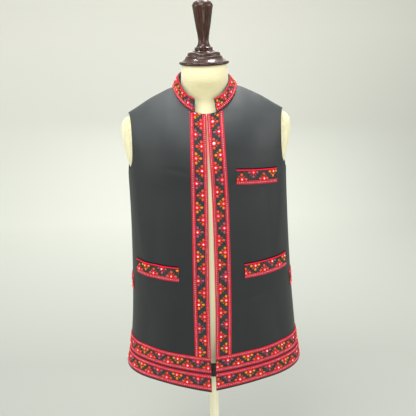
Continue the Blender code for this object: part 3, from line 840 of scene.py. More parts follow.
# angles round the neck, 0 in front, at which the ends stop from foot to top
COLLAR_ENDS = table(
    "share left right",
    (0.0, 20.5, 17.5), (1.0, 24.2, 19.6),
)
COLLAR_CORNER_SHARE = 0.20       # share of the height over which the corner is rounded
COLLAR_CORNER_TURNS = dict(left=5.5, right=0.8)
COLLAR_TOP_HALVES = dict(left=0.0592, right=0.0567)
COLLAR_TOP_FRONT = 0.0715
COLLAR_TOP_BACK = 0.0595
# heights of the top edge round the neck
COLLAR_TOP = table(
    "angle left right",
    (0, 0.6500, 0.6500), (18, 0.6515, 0.6515), (45, 0.6610, 0.6610), (62, 0.6740, 0.6730),
    (90, 0.6935, 0.6895), (130, 0.7030, 0.6970), (180, 0.7010, 0.7010),
)


print("collar's top edge, middle of the front and nape:", COLLAR_TOP[0]["left"], COLLAR_TOP[-1]["left"])

# %% [markdown]
# The collar's foot and top edge are found for an angle round the neck, and its wall is drawn straight
# from one to the other. It could be extruded from the panels' edge, but it is a piece of its own that
# stands a millimetre over them.

# %% Collar
def chest_normal(turn, climb, back):
    """Outward directions of the cloth above the armholes, on the viewer's right."""
    step = 0.5                   # degrees
    sideways = chest_point(RIGHT, turn + step, climb, back) - chest_point(RIGHT, turn - step, climb, back)
    upwards = (chest_point(RIGHT, turn, np.minimum(climb + step, 90), back)
               - chest_point(RIGHT, turn, climb - step, back))
    normal = np.cross(sideways, upwards)
    normal /= np.linalg.norm(normal, axis=-1, keepdims=True)
    return np.where(normal[..., 2:] < 0, -normal, normal)


def collar_half(angle, side):
    """Foot and top edge of one side's inner face, on the viewer's right, 0 in front and 180 at the nape."""
    feet = []
    for back, round_neck in ((False, angle), (True, 180 - angle)):
        turn, climb = neckline(np.minimum(round_neck, 90), back, -GAP)
        lift = chest_normal(turn, climb, back) * (CLOTH + COLLAR_LIFT)
        feet.append(chest_point(RIGHT, turn, climb, back) + lift)
    foot = np.where((angle > 90)[:, None], feet[1], feet[0])
    depth = np.where(angle < 90, COLLAR_TOP_FRONT, COLLAR_TOP_BACK)
    top = np.stack(((COLLAR_TOP_HALVES[side_name(side)] * np.sin(np.radians(angle)) - COLLAR_THICK),
                    -(depth - COLLAR_THICK) * np.cos(np.radians(angle)),
                    follow(COLLAR_TOP, "angle", side_name(side), angle)), axis=-1)
    return foot, top


def collar_end(share, side):
    """Angle at which the collar stops at a share of its height; its top corner is rounded."""
    label = side_name(side)
    straight = np.interp(share, [row["share"] for row in COLLAR_ENDS], [row[label] for row in COLLAR_ENDS])
    corner = np.clip((share - 1) / COLLAR_CORNER_SHARE + 1, 0, 1)
    return straight + COLLAR_CORNER_TURNS[label] * (1 - math.sqrt(1 - corner ** 2))


def collar_grid(shares, inset=0.0, count=COLLAR_COLUMNS):
    """Grid of the collar from one front end round the back to the other, row by row up its wall."""
    rows = []
    for share in shares:
        first, last = collar_end(share, RIGHT) + inset, 360 - collar_end(share, LEFT) - inset
        angles = first + (last - first) * spread(count)
        on_left = (angles > 180)[:, None]
        folded = np.where(angles > 180, 360 - angles, angles)
        foot, top = (np.where(on_left, far, near)
                     for far, near in zip(collar_half(folded, LEFT), collar_half(folded, RIGHT)))
        rows.append((foot * (1 - share) + top * share) * np.where(on_left, (-1, 1, 1), (1, 1, 1)))
    return np.stack(rows)


collar_wall = collar_grid(spread(COLLAR_ROWS, COLLAR_MARGIN))
outwards = grid_normals(collar_wall, RIGHT)
half = COLLAR_THICK / 2 * edge_profile(collar_wall)[..., None]
collar = closed_shell("stand_collar", collar_wall + outwards * (COLLAR_THICK / 2 + half),
                      collar_wall + outwards * (COLLAR_THICK / 2 - half), RIGHT, suiting)
print("collar area", round(surface_area(collar), 4))

# %% [markdown]
# ## Ribbons
# The trim is a woven ribbon. A wide border is a pair of satin stitched cords with a row of beads
# between them, a narrow one is a single cord, and stitched flowers lie in the black field. A profile
# gives the ribbon's section, and the section is swept over the cloth's own surface, so that the ribbon
# lies flat on it. A curve with a bevel would twist where the cloth turns. Above a pocket's ribbon the
# section goes on as a slim lip of dark lining, which also stands for the painted shade in the pocket's
# mouth.

# %% Ribbon sections
BAND = 0.0355
POCKET_BAND = 0.0330
COLLAR_BAND = 0.0290
BAND_LIFT = 0.0005               # of a ribbon's underside above the cloth
# how far a front ribbon's top stays below the neckline, at even steps across it
BAND_TOP_CLEARANCE = [0.0006, 0.0006, 0.0006, 0.0008, 0.0016, 0.0026, 0.0030, 0.0030, 0.0030]
HEM_EDGE = 0.005                 # bare cloth below the lower hem ribbon
BAND_GAP = 0.0045                # bare cloth between the two hem ribbons
POCKET_TOPS = dict(left=0.287, right=0.290)
BREAST_TOP = 0.5040
BREAST_TILT = 0.0100             # how much lower its outer end lies
BREAST_TURNS = (19.3, 57.0)      # degrees round the body where the pocket ribbons start and end
POCKET_TURNS = (23.0, 67.0)
BELT_BOTTOM = 0.2000
BELT_WRAPS = dict(left=76.5, right=73.5)   # where the back ribbon ends once it has passed the side seams

WIDE_BORDER = table(
    "across rise",
    (0.0000, 0.0000), (0.0002, 0.0007), (0.0008, 0.0013), (0.0016, 0.0015), (0.0023, 0.0013),
    (0.0028, 0.0007), (0.0050, 0.0007), (0.0055, 0.0013), (0.0063, 0.0015), (0.0071, 0.0013),
    (0.0078, 0.0006),
)
NARROW_BORDER = table(
    "across rise",
    (0.0000, 0.0000), (0.0002, 0.0007), (0.0008, 0.0013), (0.0016, 0.0015), (0.0024, 0.0013),
    (0.0030, 0.0006),
)
BEAD_LINE = 0.0039               # middle of the bead row, in from the ribbon's edge
BED_HALF = 0.0014                # half of the darker bed under the beads
FIELD_RISE = 0.0006
FIELD_STEPS = 6
# the pocket's lip: dark lining that also stands for the painted shade in the pocket's mouth
POCKET_LIP = table(
    "across rise",
    (0.0003, 0.0005), (0.0022, 0.0005), (0.0026, 0.0000),
)


def ribbon_section(width, low, high, lip=()):
    """Positions across a ribbon, its rise at each, and the field's first and last position."""
    field_start, field_end = low[-1]["across"], width - high[-1]["across"]
    middle = np.linspace(field_start, field_end, FIELD_STEPS + 2)[1:-1]
    positions = np.concatenate(([row["across"] for row in low], middle,
                                [width - row["across"] for row in reversed(high)],
                                [width + row["across"] for row in lip]))
    rises = np.concatenate(([row["rise"] for row in low], np.full(FIELD_STEPS, FIELD_RISE),
                            [row["rise"] for row in reversed(high)], [row["rise"] for row in lip]))
    return positions, rises, field_start, field_end


print("field between borders:", ribbon_section(BAND, WIDE_BORDER, WIDE_BORDER)[2:])

# %% [markdown]
# Four finishes make the ribbon: bright crimson cords, the darker bed under the beads, a black field
# with pale flecks of thread, and the dark lining in the pocket mouths, which also paints their shade.

# %% Ribbon threads
FLECK_TURNS = math.pi / 0.0020   # turns of the weave's diagonal flecks, one every 2 mm
crimson, tree, shader = new_material("crimson_thread", Roughness=0.6, Specular_IOR_Level=0.2)
place = map_of(tree)
stitches = group_node(tree, satin, Vector=place, Pitch=0.0010, Slant=0.35)
# painted shade: the crimson is darker in the hollows between the stitches
coloured(tree, shader, stitches.outputs["Height"], srgb(180, 5, 30), srgb(252, 18, 60))
relief(tree, shader, stitches.outputs["Height"], 0.0002, 0.6)

bed, tree, shader = new_material("bead_bed", Roughness=0.6, Specular_IOR_Level=0.3)
stitches = group_node(tree, satin, Vector=map_of(tree), Pitch=0.0023, Slant=0.0)
# painted shade: the bed's red is darker in the hollows between the stitches
coloured(tree, shader, stitches.outputs["Height"], srgb(84, 5, 20), srgb(124, 9, 32))
relief(tree, shader, stitches.outputs["Height"], 0.0002, 0.5)

field, tree, shader = new_material("black_field", Roughness=0.75, Specular_IOR_Level=0.2)
place = map_of(tree)
cloth = group_node(tree, weave, Vector=place, Pitch=0.0011)
spot = axes_of(tree, place)
rising = multiply(tree, plus(tree, spot[0], spot[1]), FLECK_TURNS)
falling = multiply(tree, calculate(tree, "SUBTRACT", spot[0], spot[1]), FLECK_TURNS)
lattice = multiply(tree, calculate(tree, "SINE", rising), calculate(tree, "SINE", falling))
fleck = multiply(tree, between(tree, lattice, 0.45, 0.85), noise(tree, place, 700.0, 2.0))
coloured(tree, shader, fleck, srgb(14, 15, 16), srgb(190, 190, 186))
relief(tree, shader, cloth.outputs["Height"], 0.00015, 0.5)

# dark lining of the pocket lips; its strip also stands for the painted shade in the mouth
shaded_lining, tree, shader = new_material("pocket_lining_shade", Roughness=0.9, Specular_IOR_Level=0.1)
cloth = group_node(tree, weave, Vector=map_of(tree), Pitch=0.0009)
coloured(tree, shader, cloth.outputs["Slub"], srgb(10, 11, 12), srgb(24, 26, 27))
relief(tree, shader, cloth.outputs["Height"], 0.00012, 0.4)
print("ribbon materials:", crimson.name, bed.name, field.name, shaded_lining.name)

# %% [markdown]
# The section's points become the columns of a grid, and the route's steps its rows. The rows are moved
# to even distances, and the last millimetre at either end slopes down, as a cut end that is turned
# under.

# %% Ribbon maker
ALONG_STEP = 0.0025
END_STEPS = np.array([0.0, 0.0002, 0.0006, 0.0012])   # close rows that round a ribbon's cut end
FIELD_FINISH, CORD_FINISH, BED_FINISH, SHADED_LINING_FINISH = range(4)


def evened(grid, length_steps):
    """The grid with its rows moved to even distances along its middle column."""
    length = travelled(grid, 0)[:, grid.shape[1] // 2]
    along = np.linspace(END_STEPS[-1], length[-1] - END_STEPS[-1], int(length[-1] / length_steps))
    along = np.concatenate((END_STEPS[:-1], along, length[-1] - END_STEPS[-2::-1]))
    columns = [np.stack([np.interp(along, length, grid[:, column, axis]) for axis in range(3)], axis=-1)
               for column in range(grid.shape[1])]
    return along, np.stack(columns, axis=1)


def border_finish(place, made_field, width, low, high):
    """Number of the finish at a distance across a ribbon."""
    if made_field[0] < place < made_field[1]:
        return FIELD_FINISH
    if place > width:
        return SHADED_LINING_FINISH
    border, from_edge = (low, place) if place < made_field[0] else (high, width - place)
    in_bed = border is WIDE_BORDER and abs(from_edge - BEAD_LINE) < BED_HALF
    return BED_FINISH if in_bed else CORD_FINISH


def ribbon(name, make_grid, outward, back, low=WIDE_BORDER, high=WIDE_BORDER, width=BAND, lip=(),
           lift=CLOTH + BAND_LIFT, folds=True):
    """A ribbon over the grid that make_grid gives for its shares across, with what sewing on it needs."""
    positions, rises, field_start, field_end = ribbon_section(width, low, high, lip)
    along, grid = evened(make_grid(positions / width), ALONG_STEP)
    if folds:
        grid, normals = settle(grid, outward, back)
    else:
        normals = grid_normals(grid, outward)
    taper = np.sqrt(np.clip(np.minimum(along, along[-1] - along) / END_STEPS[-1], 0, 1))
    top = grid + normals * (lift + taper[:, None] * rises)[..., None]
    along_map, across_map = np.meshgrid(along, positions, indexing="ij")
    piece = closed_shell(name, top, grid + normals * lift, outward, field, along_map, across_map)
    for finish in (crimson, bed, shaded_lining):
        piece.data.materials.append(finish)
    uv = piece.data.uv_layers["cloth_map"].data
    for polygon in piece.data.polygons:
        middle = sum(uv[index].uv.y for index in polygon.loop_indices) / polygon.loop_total
        polygon.material_index = border_finish(middle, (field_start, field_end), width, low, high)
    return dict(piece=piece, along=along, across=positions, grid=grid, normals=normals, lift=lift,
                length=along[-1], width=width, low=low, high=high, field=(field_start, field_end),
                mirrored=outward > 0)


print("ribbon steps", ALONG_STEP)

# %% [markdown]
# ## Where the ribbons lie
# One runs up each front edge, two run round the hem, one crosses the back, and shorter ones edge the
# three pockets and the collar. Each route is a grid on the cloth: rows along the ribbon, columns
# across it.

# %% Routes up and round the body
EDGE_MARGIN = 0.025              # share of a front ribbon's width that its clearance is read further out
ROUTE_STEPS = 90


def front_route(side):
    """Route up a front edge, from the hem's ribbons to the neckline, its columns out from the edge."""
    bottom = HEM_EDGE + BAND + BAND_GAP + BAND + GAP

    def grid(shares):
        heights = np.linspace(bottom, UNDERARM, 60)[:, None] + 0 * shares
        edge = follow(EDGES, "height", side_name(side), heights)
        half = follow(OUTLINE, "height", side_name(side), heights)
        lower = body_point(side, np.degrees(np.arcsin((edge + BAND * shares) / half)), heights, False)
        clearance = np.interp(shares, np.linspace(0, 1, len(BAND_TOP_CLEARANCE)), BAND_TOP_CLEARANCE)
        out = BAND * (shares + EDGE_MARGIN)
        angle = np.degrees(np.arcsin(out / (NECK_HALF + clearance)))
        climbs = neckline(angle, False, -clearance)[1] * np.linspace(0, 1, 50)[1:, None]
        heights = UNDERARM + (THROAT_CREST - UNDERARM) * np.sin(np.radians(climbs))
        edge = follow(EDGES, "height", side_name(side), heights)
        upper = chest_point(side, np.degrees(np.arcsin((edge + BAND * shares) / CHEST_HALF)), climbs, False)
        return np.concatenate((lower, upper))
    return grid


def level_route(side, back, bottom, width, start, end):
    """Route at a level below the armholes; start is None where it begins at the front edge."""
    def grid(shares):
        heights = bottom + width * shares
        first = edge_turn(side, heights) if start is None else np.full_like(heights, start)
        steps = np.linspace(0, 1, ROUTE_STEPS)[:, None]
        return body_point(side, first + (end - first) * steps, heights + 0 * steps, back)
    return grid


def back_route(bottom, width, wraps=None):
    """Route across the whole back, seam to seam, or on round both sides to the angles in wraps."""
    def grid(shares):
        left, right = (level_route(side, True, bottom, width, 0.0, 90.0)(shares) for side in (LEFT, RIGHT))
        rows = np.concatenate((left[::-1], right[1:]))
        if wraps:
            before, after = (level_route(side, False, bottom, width, wraps[side_name(side)], 90.0)(shares)
                             for side in (LEFT, RIGHT))
            rows = np.concatenate((before[:-1], rows, after[-2::-1]))
        return rows
    return grid

# %% [markdown]
# The breast pocket crosses the height at which the two parts of the surface meet, so each of its points
# is taken from the part that it lies on. The collar's ribbon follows the collar's own grid.

# %% Routes on the chest and the collar
LEAST_RISE = 0.005               # keeps the chest's formula off its foot, where the body's one serves
COLLAR_MARGINS = (0.03, 0.94)    # the ribbon's first edge on the collar, and its reach, as shares
COLLAR_INSET = 0.7               # degrees between the collar's end and its ribbon's


def breast_route(shares):
    """Route of the breast pocket's ribbon, which crosses the level of the armhole's foot."""
    steps = np.linspace(0, 1, 60)[:, None]
    turns = BREAST_TURNS[0] + (BREAST_TURNS[1] - BREAST_TURNS[0]) * steps + 0 * shares
    heights = BREAST_TOP - POCKET_BAND * (1 - shares) - BREAST_TILT * steps
    low = body_point(RIGHT, turns, np.minimum(heights, UNDERARM), False)
    rise = heights - UNDERARM
    crest = follow(SHOULDER, "out", "height", CHEST_HALF * np.sin(np.radians(turns)))
    climbs = np.degrees(np.arcsin(np.clip(rise / (crest - UNDERARM), LEAST_RISE, 1)))
    high = chest_point(RIGHT, turns, climbs, False)
    return np.where((heights > UNDERARM)[..., None], high, low)


def collar_route(shares):
    """Route round the collar, just inside its edges and ends."""
    return collar_grid(COLLAR_MARGINS[0] + COLLAR_MARGINS[1] * shares, COLLAR_INSET, 160).transpose(1, 0, 2)

# %% [markdown]
# Each ribbon is kept under the name of the plain solid that it will stand for.

# %% Ribbons on the garment
POCKET_SECTION = dict(high=NARROW_BORDER, width=POCKET_BAND, lip=POCKET_LIP)
ribbons = {}
for side in (LEFT, RIGHT):
    label = side_name(side)
    ribbons["front_band_" + label] = ribbon("front_ribbon_" + label, front_route(side), side, False)
    route = level_route(side, False, POCKET_TOPS[label] - POCKET_BAND, POCKET_BAND, *POCKET_TURNS)
    ribbons["pocket_band_" + label] = ribbon("pocket_ribbon_" + label, route, -side, False,
                                             **POCKET_SECTION)
for label, bottom in (("lower", HEM_EDGE), ("upper", HEM_EDGE + BAND + BAND_GAP)):
    for side in (LEFT, RIGHT):
        node = "hem_band_" + label + "_" + side_name(side)
        route = level_route(side, False, bottom, BAND, None, 90.0)
        ribbons[node] = ribbon(node.replace("band", "ribbon"), route, -side, False)
    node = "hem_band_" + label + "_back"
    ribbons[node] = ribbon(node.replace("band", "ribbon"), back_route(bottom, BAND), RIGHT, True)
ribbons["back_band"] = ribbon("back_ribbon", back_route(BELT_BOTTOM, BAND, BELT_WRAPS), RIGHT, True)
ribbons["breast_pocket_band"] = ribbon("breast_pocket_ribbon", breast_route, -RIGHT, False,
                                       **POCKET_SECTION)
ribbons["collar_band"] = ribbon("collar_ribbon", collar_route, -RIGHT, False, high=NARROW_BORDER,
                                width=COLLAR_BAND, lift=COLLAR_THICK + BAND_LIFT, folds=False)
for node, made in ribbons.items():
    print(node, "length", round(made["length"], 3), "faces", len(made["piece"].data.polygons))

# %% [markdown]
# ## Stitched flowers and beads
# A flower is a red rosette with a bright sequin, three padded petals and two slim leaves. Each shape
# is modelled once, flat, by raising and insetting a disc. Copies of it are then bent onto the ribbon
# and joined, so a ribbon's flowers are one mesh. The colour of each flower's threads is kept in its
# points. A painted pattern would be quicker, but the real stitches stand up and catch the light.

# %% Flat shapes
PADDING = ((0.28, 0.62), (0.34, 0.25))   # how far in and up each step goes, as shares of the shape


def raised_shape(name, length, width, rise, corners, pinch=1.0, every=2, steps=PADDING):
    """A padded disc: its corners pinched in but for every so many, its top inset and lifted in steps."""
    choose()
    bpy.ops.mesh.primitive_cylinder_add(vertices=corners, radius=length / 2, depth=rise * 0.4,
                                        location=(0, 0, rise * 0.2))
    shape = bpy.context.object
    shape.name = name

    def is_pinched(vertex):
        turn = math.atan2(vertex.co.y * length / width, vertex.co.x) / (2 * math.pi) * corners
        return round(turn) % every != 0
    bpy.ops.object.mode_set(mode="EDIT")
    bpy.ops.transform.resize(value=(1, width / length, 1))
    pick("vertices", is_pinched)
    bpy.ops.transform.resize(value=(pinch, pinch, 1))
    pick("polygons", lambda polygon: polygon.normal.z > 0.9)
    for inset, lift in steps:
        bpy.ops.mesh.inset(thickness=inset * width / 2)
        bpy.ops.transform.translate(value=(0, 0, lift * rise))
    bpy.ops.object.mode_set(mode="OBJECT")
    return finish_piece(shape)


def taken_apart(shape):
    """The shape's points and faces, after which the shape itself is removed."""
    points = np.array([vertex.co for vertex in shape.data.vertices])
    faces = [tuple(polygon.vertices) for polygon in shape.data.polygons]
    bpy.data.objects.remove(shape, do_unlink=True)
    return points, faces

# %% [markdown]
# A petal is a soft lozenge, a rosette a scalloped disc, a leaf a slim oval and a sequin a dished disc.
# A bead is a small ball, pressed a little flat.

# %% Petal, rosette, leaf, sequin and bead
CORE_SIZE = 0.0110               # across the red rosette in a flower's middle
SEQUIN_SIZE = 0.0036
SEQUIN_SEAT = 0.0018             # a sequin's underside, inside the top of its rosette
LARGE_SEQUIN = (1.6, 1.6, 1.0)   # how much wider the two shiniest ones are
BEAD_SIZE = 0.0026
BEAD_SQUASH = (1.0, 0.9, 0.6)
petal = taken_apart(raised_shape("petal", 0.0072, 0.0061, 0.0013, 12, pinch=0.90, every=3))
core = taken_apart(raised_shape("core", CORE_SIZE, CORE_SIZE, 0.0015, 16, pinch=0.86))
leaf = taken_apart(raised_shape("leaf", 0.0052, 0.0017, 0.0008, 8, steps=((0.5, 0.5),)))
DISH = ((0.22, 0.5), (0.4, -0.35))
sequin = taken_apart(raised_shape("sequin", SEQUIN_SIZE, SEQUIN_SIZE, 0.0010, 12, steps=DISH))
sequin[0][:, 2] += SEQUIN_SEAT
large_sequin = (sequin[0] * LARGE_SEQUIN, sequin[1])
choose()
bpy.ops.mesh.primitive_ico_sphere_add(subdivisions=1, radius=BEAD_SIZE / 2)
bpy.ops.transform.resize(value=BEAD_SQUASH)
bead = taken_apart(finish_piece(bpy.context.object))
for label, shape in (("petal", petal), ("core", core), ("leaf", leaf), ("sequin", sequin), ("bead", bead)):
    print(label, "faces", len(shape[1]))

# %% [markdown]
# Petals and rosettes are satin stitched in the colour that their points carry. Sequins are pale foil
# and the beads are milky pink glass.

# %% Thread, sequin and bead finishes
flower_thread, tree, shader = new_material("flower_thread", Roughness=0.55, Specular_IOR_Level=0.25)
colour = add_node(tree, "ShaderNodeAttribute", {"attribute_name": "thread_colour"}).outputs["Color"]
stitches = group_node(tree, satin, Vector=map_of(tree, "thread_map"), Pitch=0.0009, Slant=0.15)
shaded = mix_colours(tree, 0.38, colour, (0.02, 0.004, 0.004, 1))
coloured(tree, shader, stitches.outputs["Height"], shaded, colour)
relief(tree, shader, stitches.outputs["Height"], 0.0002, 0.6)

sequin_foil, tree, shader = new_material("sequin_foil", Roughness=0.30, Coat_Weight=0.5,
                                         Coat_Roughness=0.08)
glint = noise(tree, object_place(tree), 90.0, 1.0)
coloured(tree, shader, between(tree, glint, 0.36, 0.58), srgb(224, 178, 170), srgb(255, 253, 251))
ripple = noise(tree, object_place(tree), 900.0, 1.0)
relief(tree, shader, ripple, 0.0002, 0.4)

bead_glass, tree, shader = new_material("bead_glass", Roughness=0.35)
tint = noise(tree, object_place(tree), 260.0, 2.0)
coloured(tree, shader, between(tree, tint, 0.38, 0.62), srgb(240, 160, 170), srgb(255, 240, 236))
relief(tree, shader, noise(tree, object_place(tree), 1500.0, 1.0), 0.0001, 0.3)
print("finishes:", flower_thread.name, sequin_foil.name, bead_glass.name)

# %% [markdown]
# To sew a flat shape on, each of its points is read as a distance along the ribbon, one across it and
# a rise above its field. The ribbon's own grid then tells where that is, so the shape bends with it.

# %% Bending a flat shape
SUNK = 0.0001                    # how far a sewn shape's underside lies inside the field


def lay_on(made, places):
    """Points of a flat pattern (along, across, rise above the field) bent onto the ribbon."""
    along, cross = made["along"], made["across"]

    def cell_of(steps, values):
        cell = np.clip(np.searchsorted(steps, values, side="right") - 1, 0, len(steps) - 2)
        return cell, ((values - steps[cell]) / (steps[cell + 1] - steps[cell]))[:, None]
    row, up = cell_of(along, places[:, 0])
    column, over = cell_of(cross, places[:, 1])

    def blended(grid):
        low = grid[row, column] * (1 - over) + grid[row, column + 1] * over
        high = grid[row + 1, column] * (1 - over) + grid[row + 1, column + 1] * over
        return low * (1 - up) + high * up
    normal = blended(made["normals"])
    normal /= np.linalg.norm(normal, axis=1, keepdims=True)
    rise = made["lift"] + FIELD_RISE - SUNK + places[:, 2:]
    return blended(made["grid"]) + normal * rise + (0, 0, HEM_HEIGHT)

# %% [markdown]
# Shapes that would reach past a ribbon's end are cut off there, as they are where a ribbon is cut from
# the roll. One that would lie almost wholly outside is left out.

# %% Joining the shapes of a ribbon
END_MARGIN = 0.0004
MOSTLY_OUTSIDE = 0.6


def sewn(name, made, shapes, finishes):
    """One mesh of many shapes on a ribbon: each its part, along, across, turn, colour, finish number."""
    points, faces, maps, colours, numbers = [], [], [], [], []
    total = 0
    for (shape_points, shape_faces), along, cross, turn, colour, number in shapes:
        angle = math.radians(turn)
        flat = shape_points.copy()
        flat[:, 0] = along + shape_points[:, 0] * math.cos(angle) - shape_points[:, 1] * math.sin(angle)
        flat[:, 1] = cross + shape_points[:, 0] * math.sin(angle) + shape_points[:, 1] * math.cos(angle)
        last_along, last_across = made["length"] - END_MARGIN, made["width"] - END_MARGIN
        outside = (flat[:, 0] < END_MARGIN) | (flat[:, 0] > last_along)
        if outside.sum() > MOSTLY_OUTSIDE * len(flat):
            continue
        flat[:, 0] = np.clip(flat[:, 0], END_MARGIN, last_along)
        flat[:, 1] = np.clip(flat[:, 1], END_MARGIN, last_across)
        points.append(flat)
        maps.append(shape_points[:, :2] + (along, cross) if turn == 0 else shape_points[:, :2])
        colours.append(np.tile(colour, (len(flat), 1)))
        faces += [tuple(total + index for index in face) for face in shape_faces]
        numbers += [number] * len(shape_faces)
        total += len(flat)
    if made["mirrored"]:
        faces = [face[::-1] for face in faces]
    mesh = bpy.data.meshes.new(name)
    mesh.from_pydata(lay_on(made, np.concatenate(points)).tolist(), [], faces)
    corners = np.zeros(len(mesh.loops), np.int32)
    mesh.loops.foreach_get("vertex_index", corners)
    uv = mesh.uv_layers.new(name="thread_map")
    uv.data.foreach_set("uv", np.concatenate(maps)[corners].astype(np.float32).reshape(-1))
    tints = mesh.color_attributes.new("thread_colour", "FLOAT_COLOR", "POINT")
    tints.data.foreach_set("color", np.concatenate(colours).astype(np.float32).reshape(-1))
    for finish in finishes:
        mesh.materials.append(finish)
    mesh.polygons.foreach_set("material_index", np.array(numbers, np.int32))
    mesh.shade_smooth()
    mesh.set_sharp_from_angle(angle=math.radians(50))
    return shown(name, mesh)

# %% [markdown]
# A flower grows from one border into the field. Its rosette lies at the border, three petals stand
# round it and a slim leaf lies between each two petals.

# %% One flower
CORE_RED = srgb(246, 8, 40)
ORANGE = srgb(250, 84, 44)
GOLD = srgb(250, 142, 30)
ROSE = srgb(176, 84, 100)
CORE_IN = 0.0039                 # middle of a rosette, in from the edge of the black field
PETAL_OUT = 0.0095               # middle of a petal, out from the middle of its rosette
LEAF_OUT = 0.0080


def flower(made, along, low, colour, centre):
    """Shapes of one flower that grows from the low or the high border into the field."""
    start, end = made["field"]
    cross = start + CORE_IN if low else end - CORE_IN
    inward = 1 if low else -1
    shapes = [(core, along, cross, 0, CORE_RED, 0), (centre, along, cross, 0, CORE_RED, 1)]
    around = [(petal, PETAL_OUT, turn, turn) for turn in (0, 90, 180)]
    around += [(leaf, LEAF_OUT, turn, turn * inward) for turn in (45, 135)]
    for part, out, turn, lie in around:
        step_along = out * math.cos(math.radians(turn))
        step_across = out * math.sin(math.radians(turn)) * inward
        shapes.append((part, along + step_along, cross + step_across, lie, colour, 0))
    return shapes


print("a flower reaches", CORE_IN + PETAL_OUT, "from its border to the middle of its outer petal")

# %% [markdown]
# Flowers grow from the two borders in turn. For each ribbon the layout says how far from its start the
# first one lies (from its end where from_end is set), the pitch, and how much the pitch grows from
# flower to flower. It says whether the first grows from the low border, the petals' colours in turn on
# either border, and which flowers have a large sequin. These sizes were read off the garment.

# %% Flower layouts
HEM_LAYOUT = dict(grow=0.0, from_end=False, low=True, lows=[ORANGE], highs=[ROSE, GOLD])
FRONT_LAYOUT = dict(from_end=True, low=False, lows=[ORANGE], highs=[GOLD, ROSE])
POCKET_LAYOUT = dict(grow=0.0, from_end=False, lows=[ORANGE])
BACK_LAYOUT = dict(HEM_LAYOUT, first=0.0100, pitch=0.0240)
LAYOUTS = {
    "front_band_left": dict(FRONT_LAYOUT, first=0.0020, pitch=0.0255, grow=0.00021),
    "front_band_right": dict(FRONT_LAYOUT, first=-0.0022, pitch=0.0251, grow=0.00023, shiny=(1, 3)),
    "hem_band_upper_left": dict(HEM_LAYOUT, first=0.0066, pitch=0.0235),
    "hem_band_upper_right": dict(HEM_LAYOUT, first=0.0035, pitch=0.0240),
    "hem_band_lower_left": dict(HEM_LAYOUT, first=0.0062, pitch=0.0249),
    "hem_band_lower_right": dict(HEM_LAYOUT, first=0.0050, pitch=0.0252),
    "pocket_band_left": dict(POCKET_LAYOUT, first=-0.0057, pitch=0.0237, low=False, highs=[GOLD, ROSE]),
    "pocket_band_right": dict(POCKET_LAYOUT, first=0.0020, pitch=0.0236, low=True, highs=[GOLD, ROSE]),
    "breast_pocket_band": dict(POCKET_LAYOUT, first=0.0118, pitch=0.0274, low=True, highs=[ROSE, GOLD]),
    "collar_band": dict(first=0.0060, pitch=0.0236, grow=0.0, from_end=False, low=True, highs=[ORANGE],
                        lows=[GOLD, ROSE, GOLD, ROSE, ROSE, GOLD, ROSE, GOLD, ROSE]),
    "hem_band_upper_back": BACK_LAYOUT,
    "hem_band_lower_back": BACK_LAYOUT,
    "back_band": BACK_LAYOUT,
}
print("ribbons laid out:", len(LAYOUTS))

# %% [markdown]
# The layouts are now followed along every ribbon. Beads lie in each wide border, at an even pitch.

# %% Flowers and beads on every ribbon
BEAD_PITCH = 0.0046
WHITE = (1.0, 1.0, 1.0, 1.0)


def flower_shapes(made, layout):
    """Shapes of all flowers on a ribbon."""
    shapes = []
    distance, number = layout["first"], 0
    while distance < made["length"] + CORE_SIZE / 2:
        along = made["length"] - distance if layout["from_end"] else distance
        low = layout["low"] == (number % 2 == 0)
        colours = layout["lows"] if low else layout["highs"]
        centre = large_sequin if number in layout.get("shiny", ()) else sequin
        shapes += flower(made, along, low, colours[number // 2 % len(colours)], centre)
        distance += layout["pitch"] + layout["grow"] * number
        number += 1
    return shapes


def bead_shapes(made):
    """Shapes of the beads, one row in each wide border."""
    lines = [BEAD_LINE] if made["low"] is WIDE_BORDER else []
    lines += [made["width"] - BEAD_LINE] if made["high"] is WIDE_BORDER else []
    distances = [BEAD_PITCH * (number + 0.5) for number in range(int(made["length"] / BEAD_PITCH))]
    return [(bead, distance, line, 0, WHITE, 0) for line in lines for distance in distances]


trimmings = {}
for node, made in ribbons.items():
    name = made["piece"].name
    shapes = flower_shapes(made, LAYOUTS[node])
    flowers = sewn(name + "_flowers", made, shapes, (flower_thread, sequin_foil))
    beads = sewn(name + "_beads", made, bead_shapes(made), (bead_glass,))
    trimmings[node] = (flowers, beads)
    print(name, "flower faces", len(flowers.data.polygons), "bead faces", len(beads.data.polygons))

# %% [markdown]
# ## The dress form
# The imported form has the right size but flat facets. A copy of it is merged, its triangles are made
# quads again, and a subdivision surface rounds it like stretched jersey over a hard shell. The flat
# end of the neck becomes one face with a narrow ring round it, so that its rim stays a clean circle.

# %% Dress form
MERGE = 0.00002
FLAT_JOIN = math.radians(60)     # triangles that meet at less than this are joined to a quad
NECK_END_HEIGHT = 1.0
RIM_WIDTH = 0.002
choose(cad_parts["dress_form"])
bpy.ops.object.duplicate()
form = bpy.context.object
form.name = "linen_form"
for label in [key for key in form.keys() if key.startswith("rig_")]:
    del form[label]
form.parent = None
form.data.materials.clear()
form.data.materials.append(linen)
bpy.ops.object.mode_set(mode="EDIT")
bpy.ops.mesh.select_all(action="SELECT")
bpy.ops.mesh.remove_doubles(threshold=MERGE)
bpy.ops.mesh.tris_convert_to_quads(face_threshold=FLAT_JOIN, shape_threshold=FLAT_JOIN)
neck_end = pick("polygons", lambda polygon: polygon.normal.z > 0.99 and polygon.center.z > NECK_END_HEIGHT)
print("flat faces on the neck:", neck_end)
bpy.ops.mesh.dissolve_faces()
bpy.ops.mesh.inset(thickness=RIM_WIDTH)
bpy.ops.object.mode_set(mode="OBJECT")
rounding = form.modifiers.new("rounding", "SUBSURF")
rounding.levels = rounding.render_levels = 1
bpy.ops.object.modifier_apply(modifier=rounding.name)
finish_piece(form, 60)
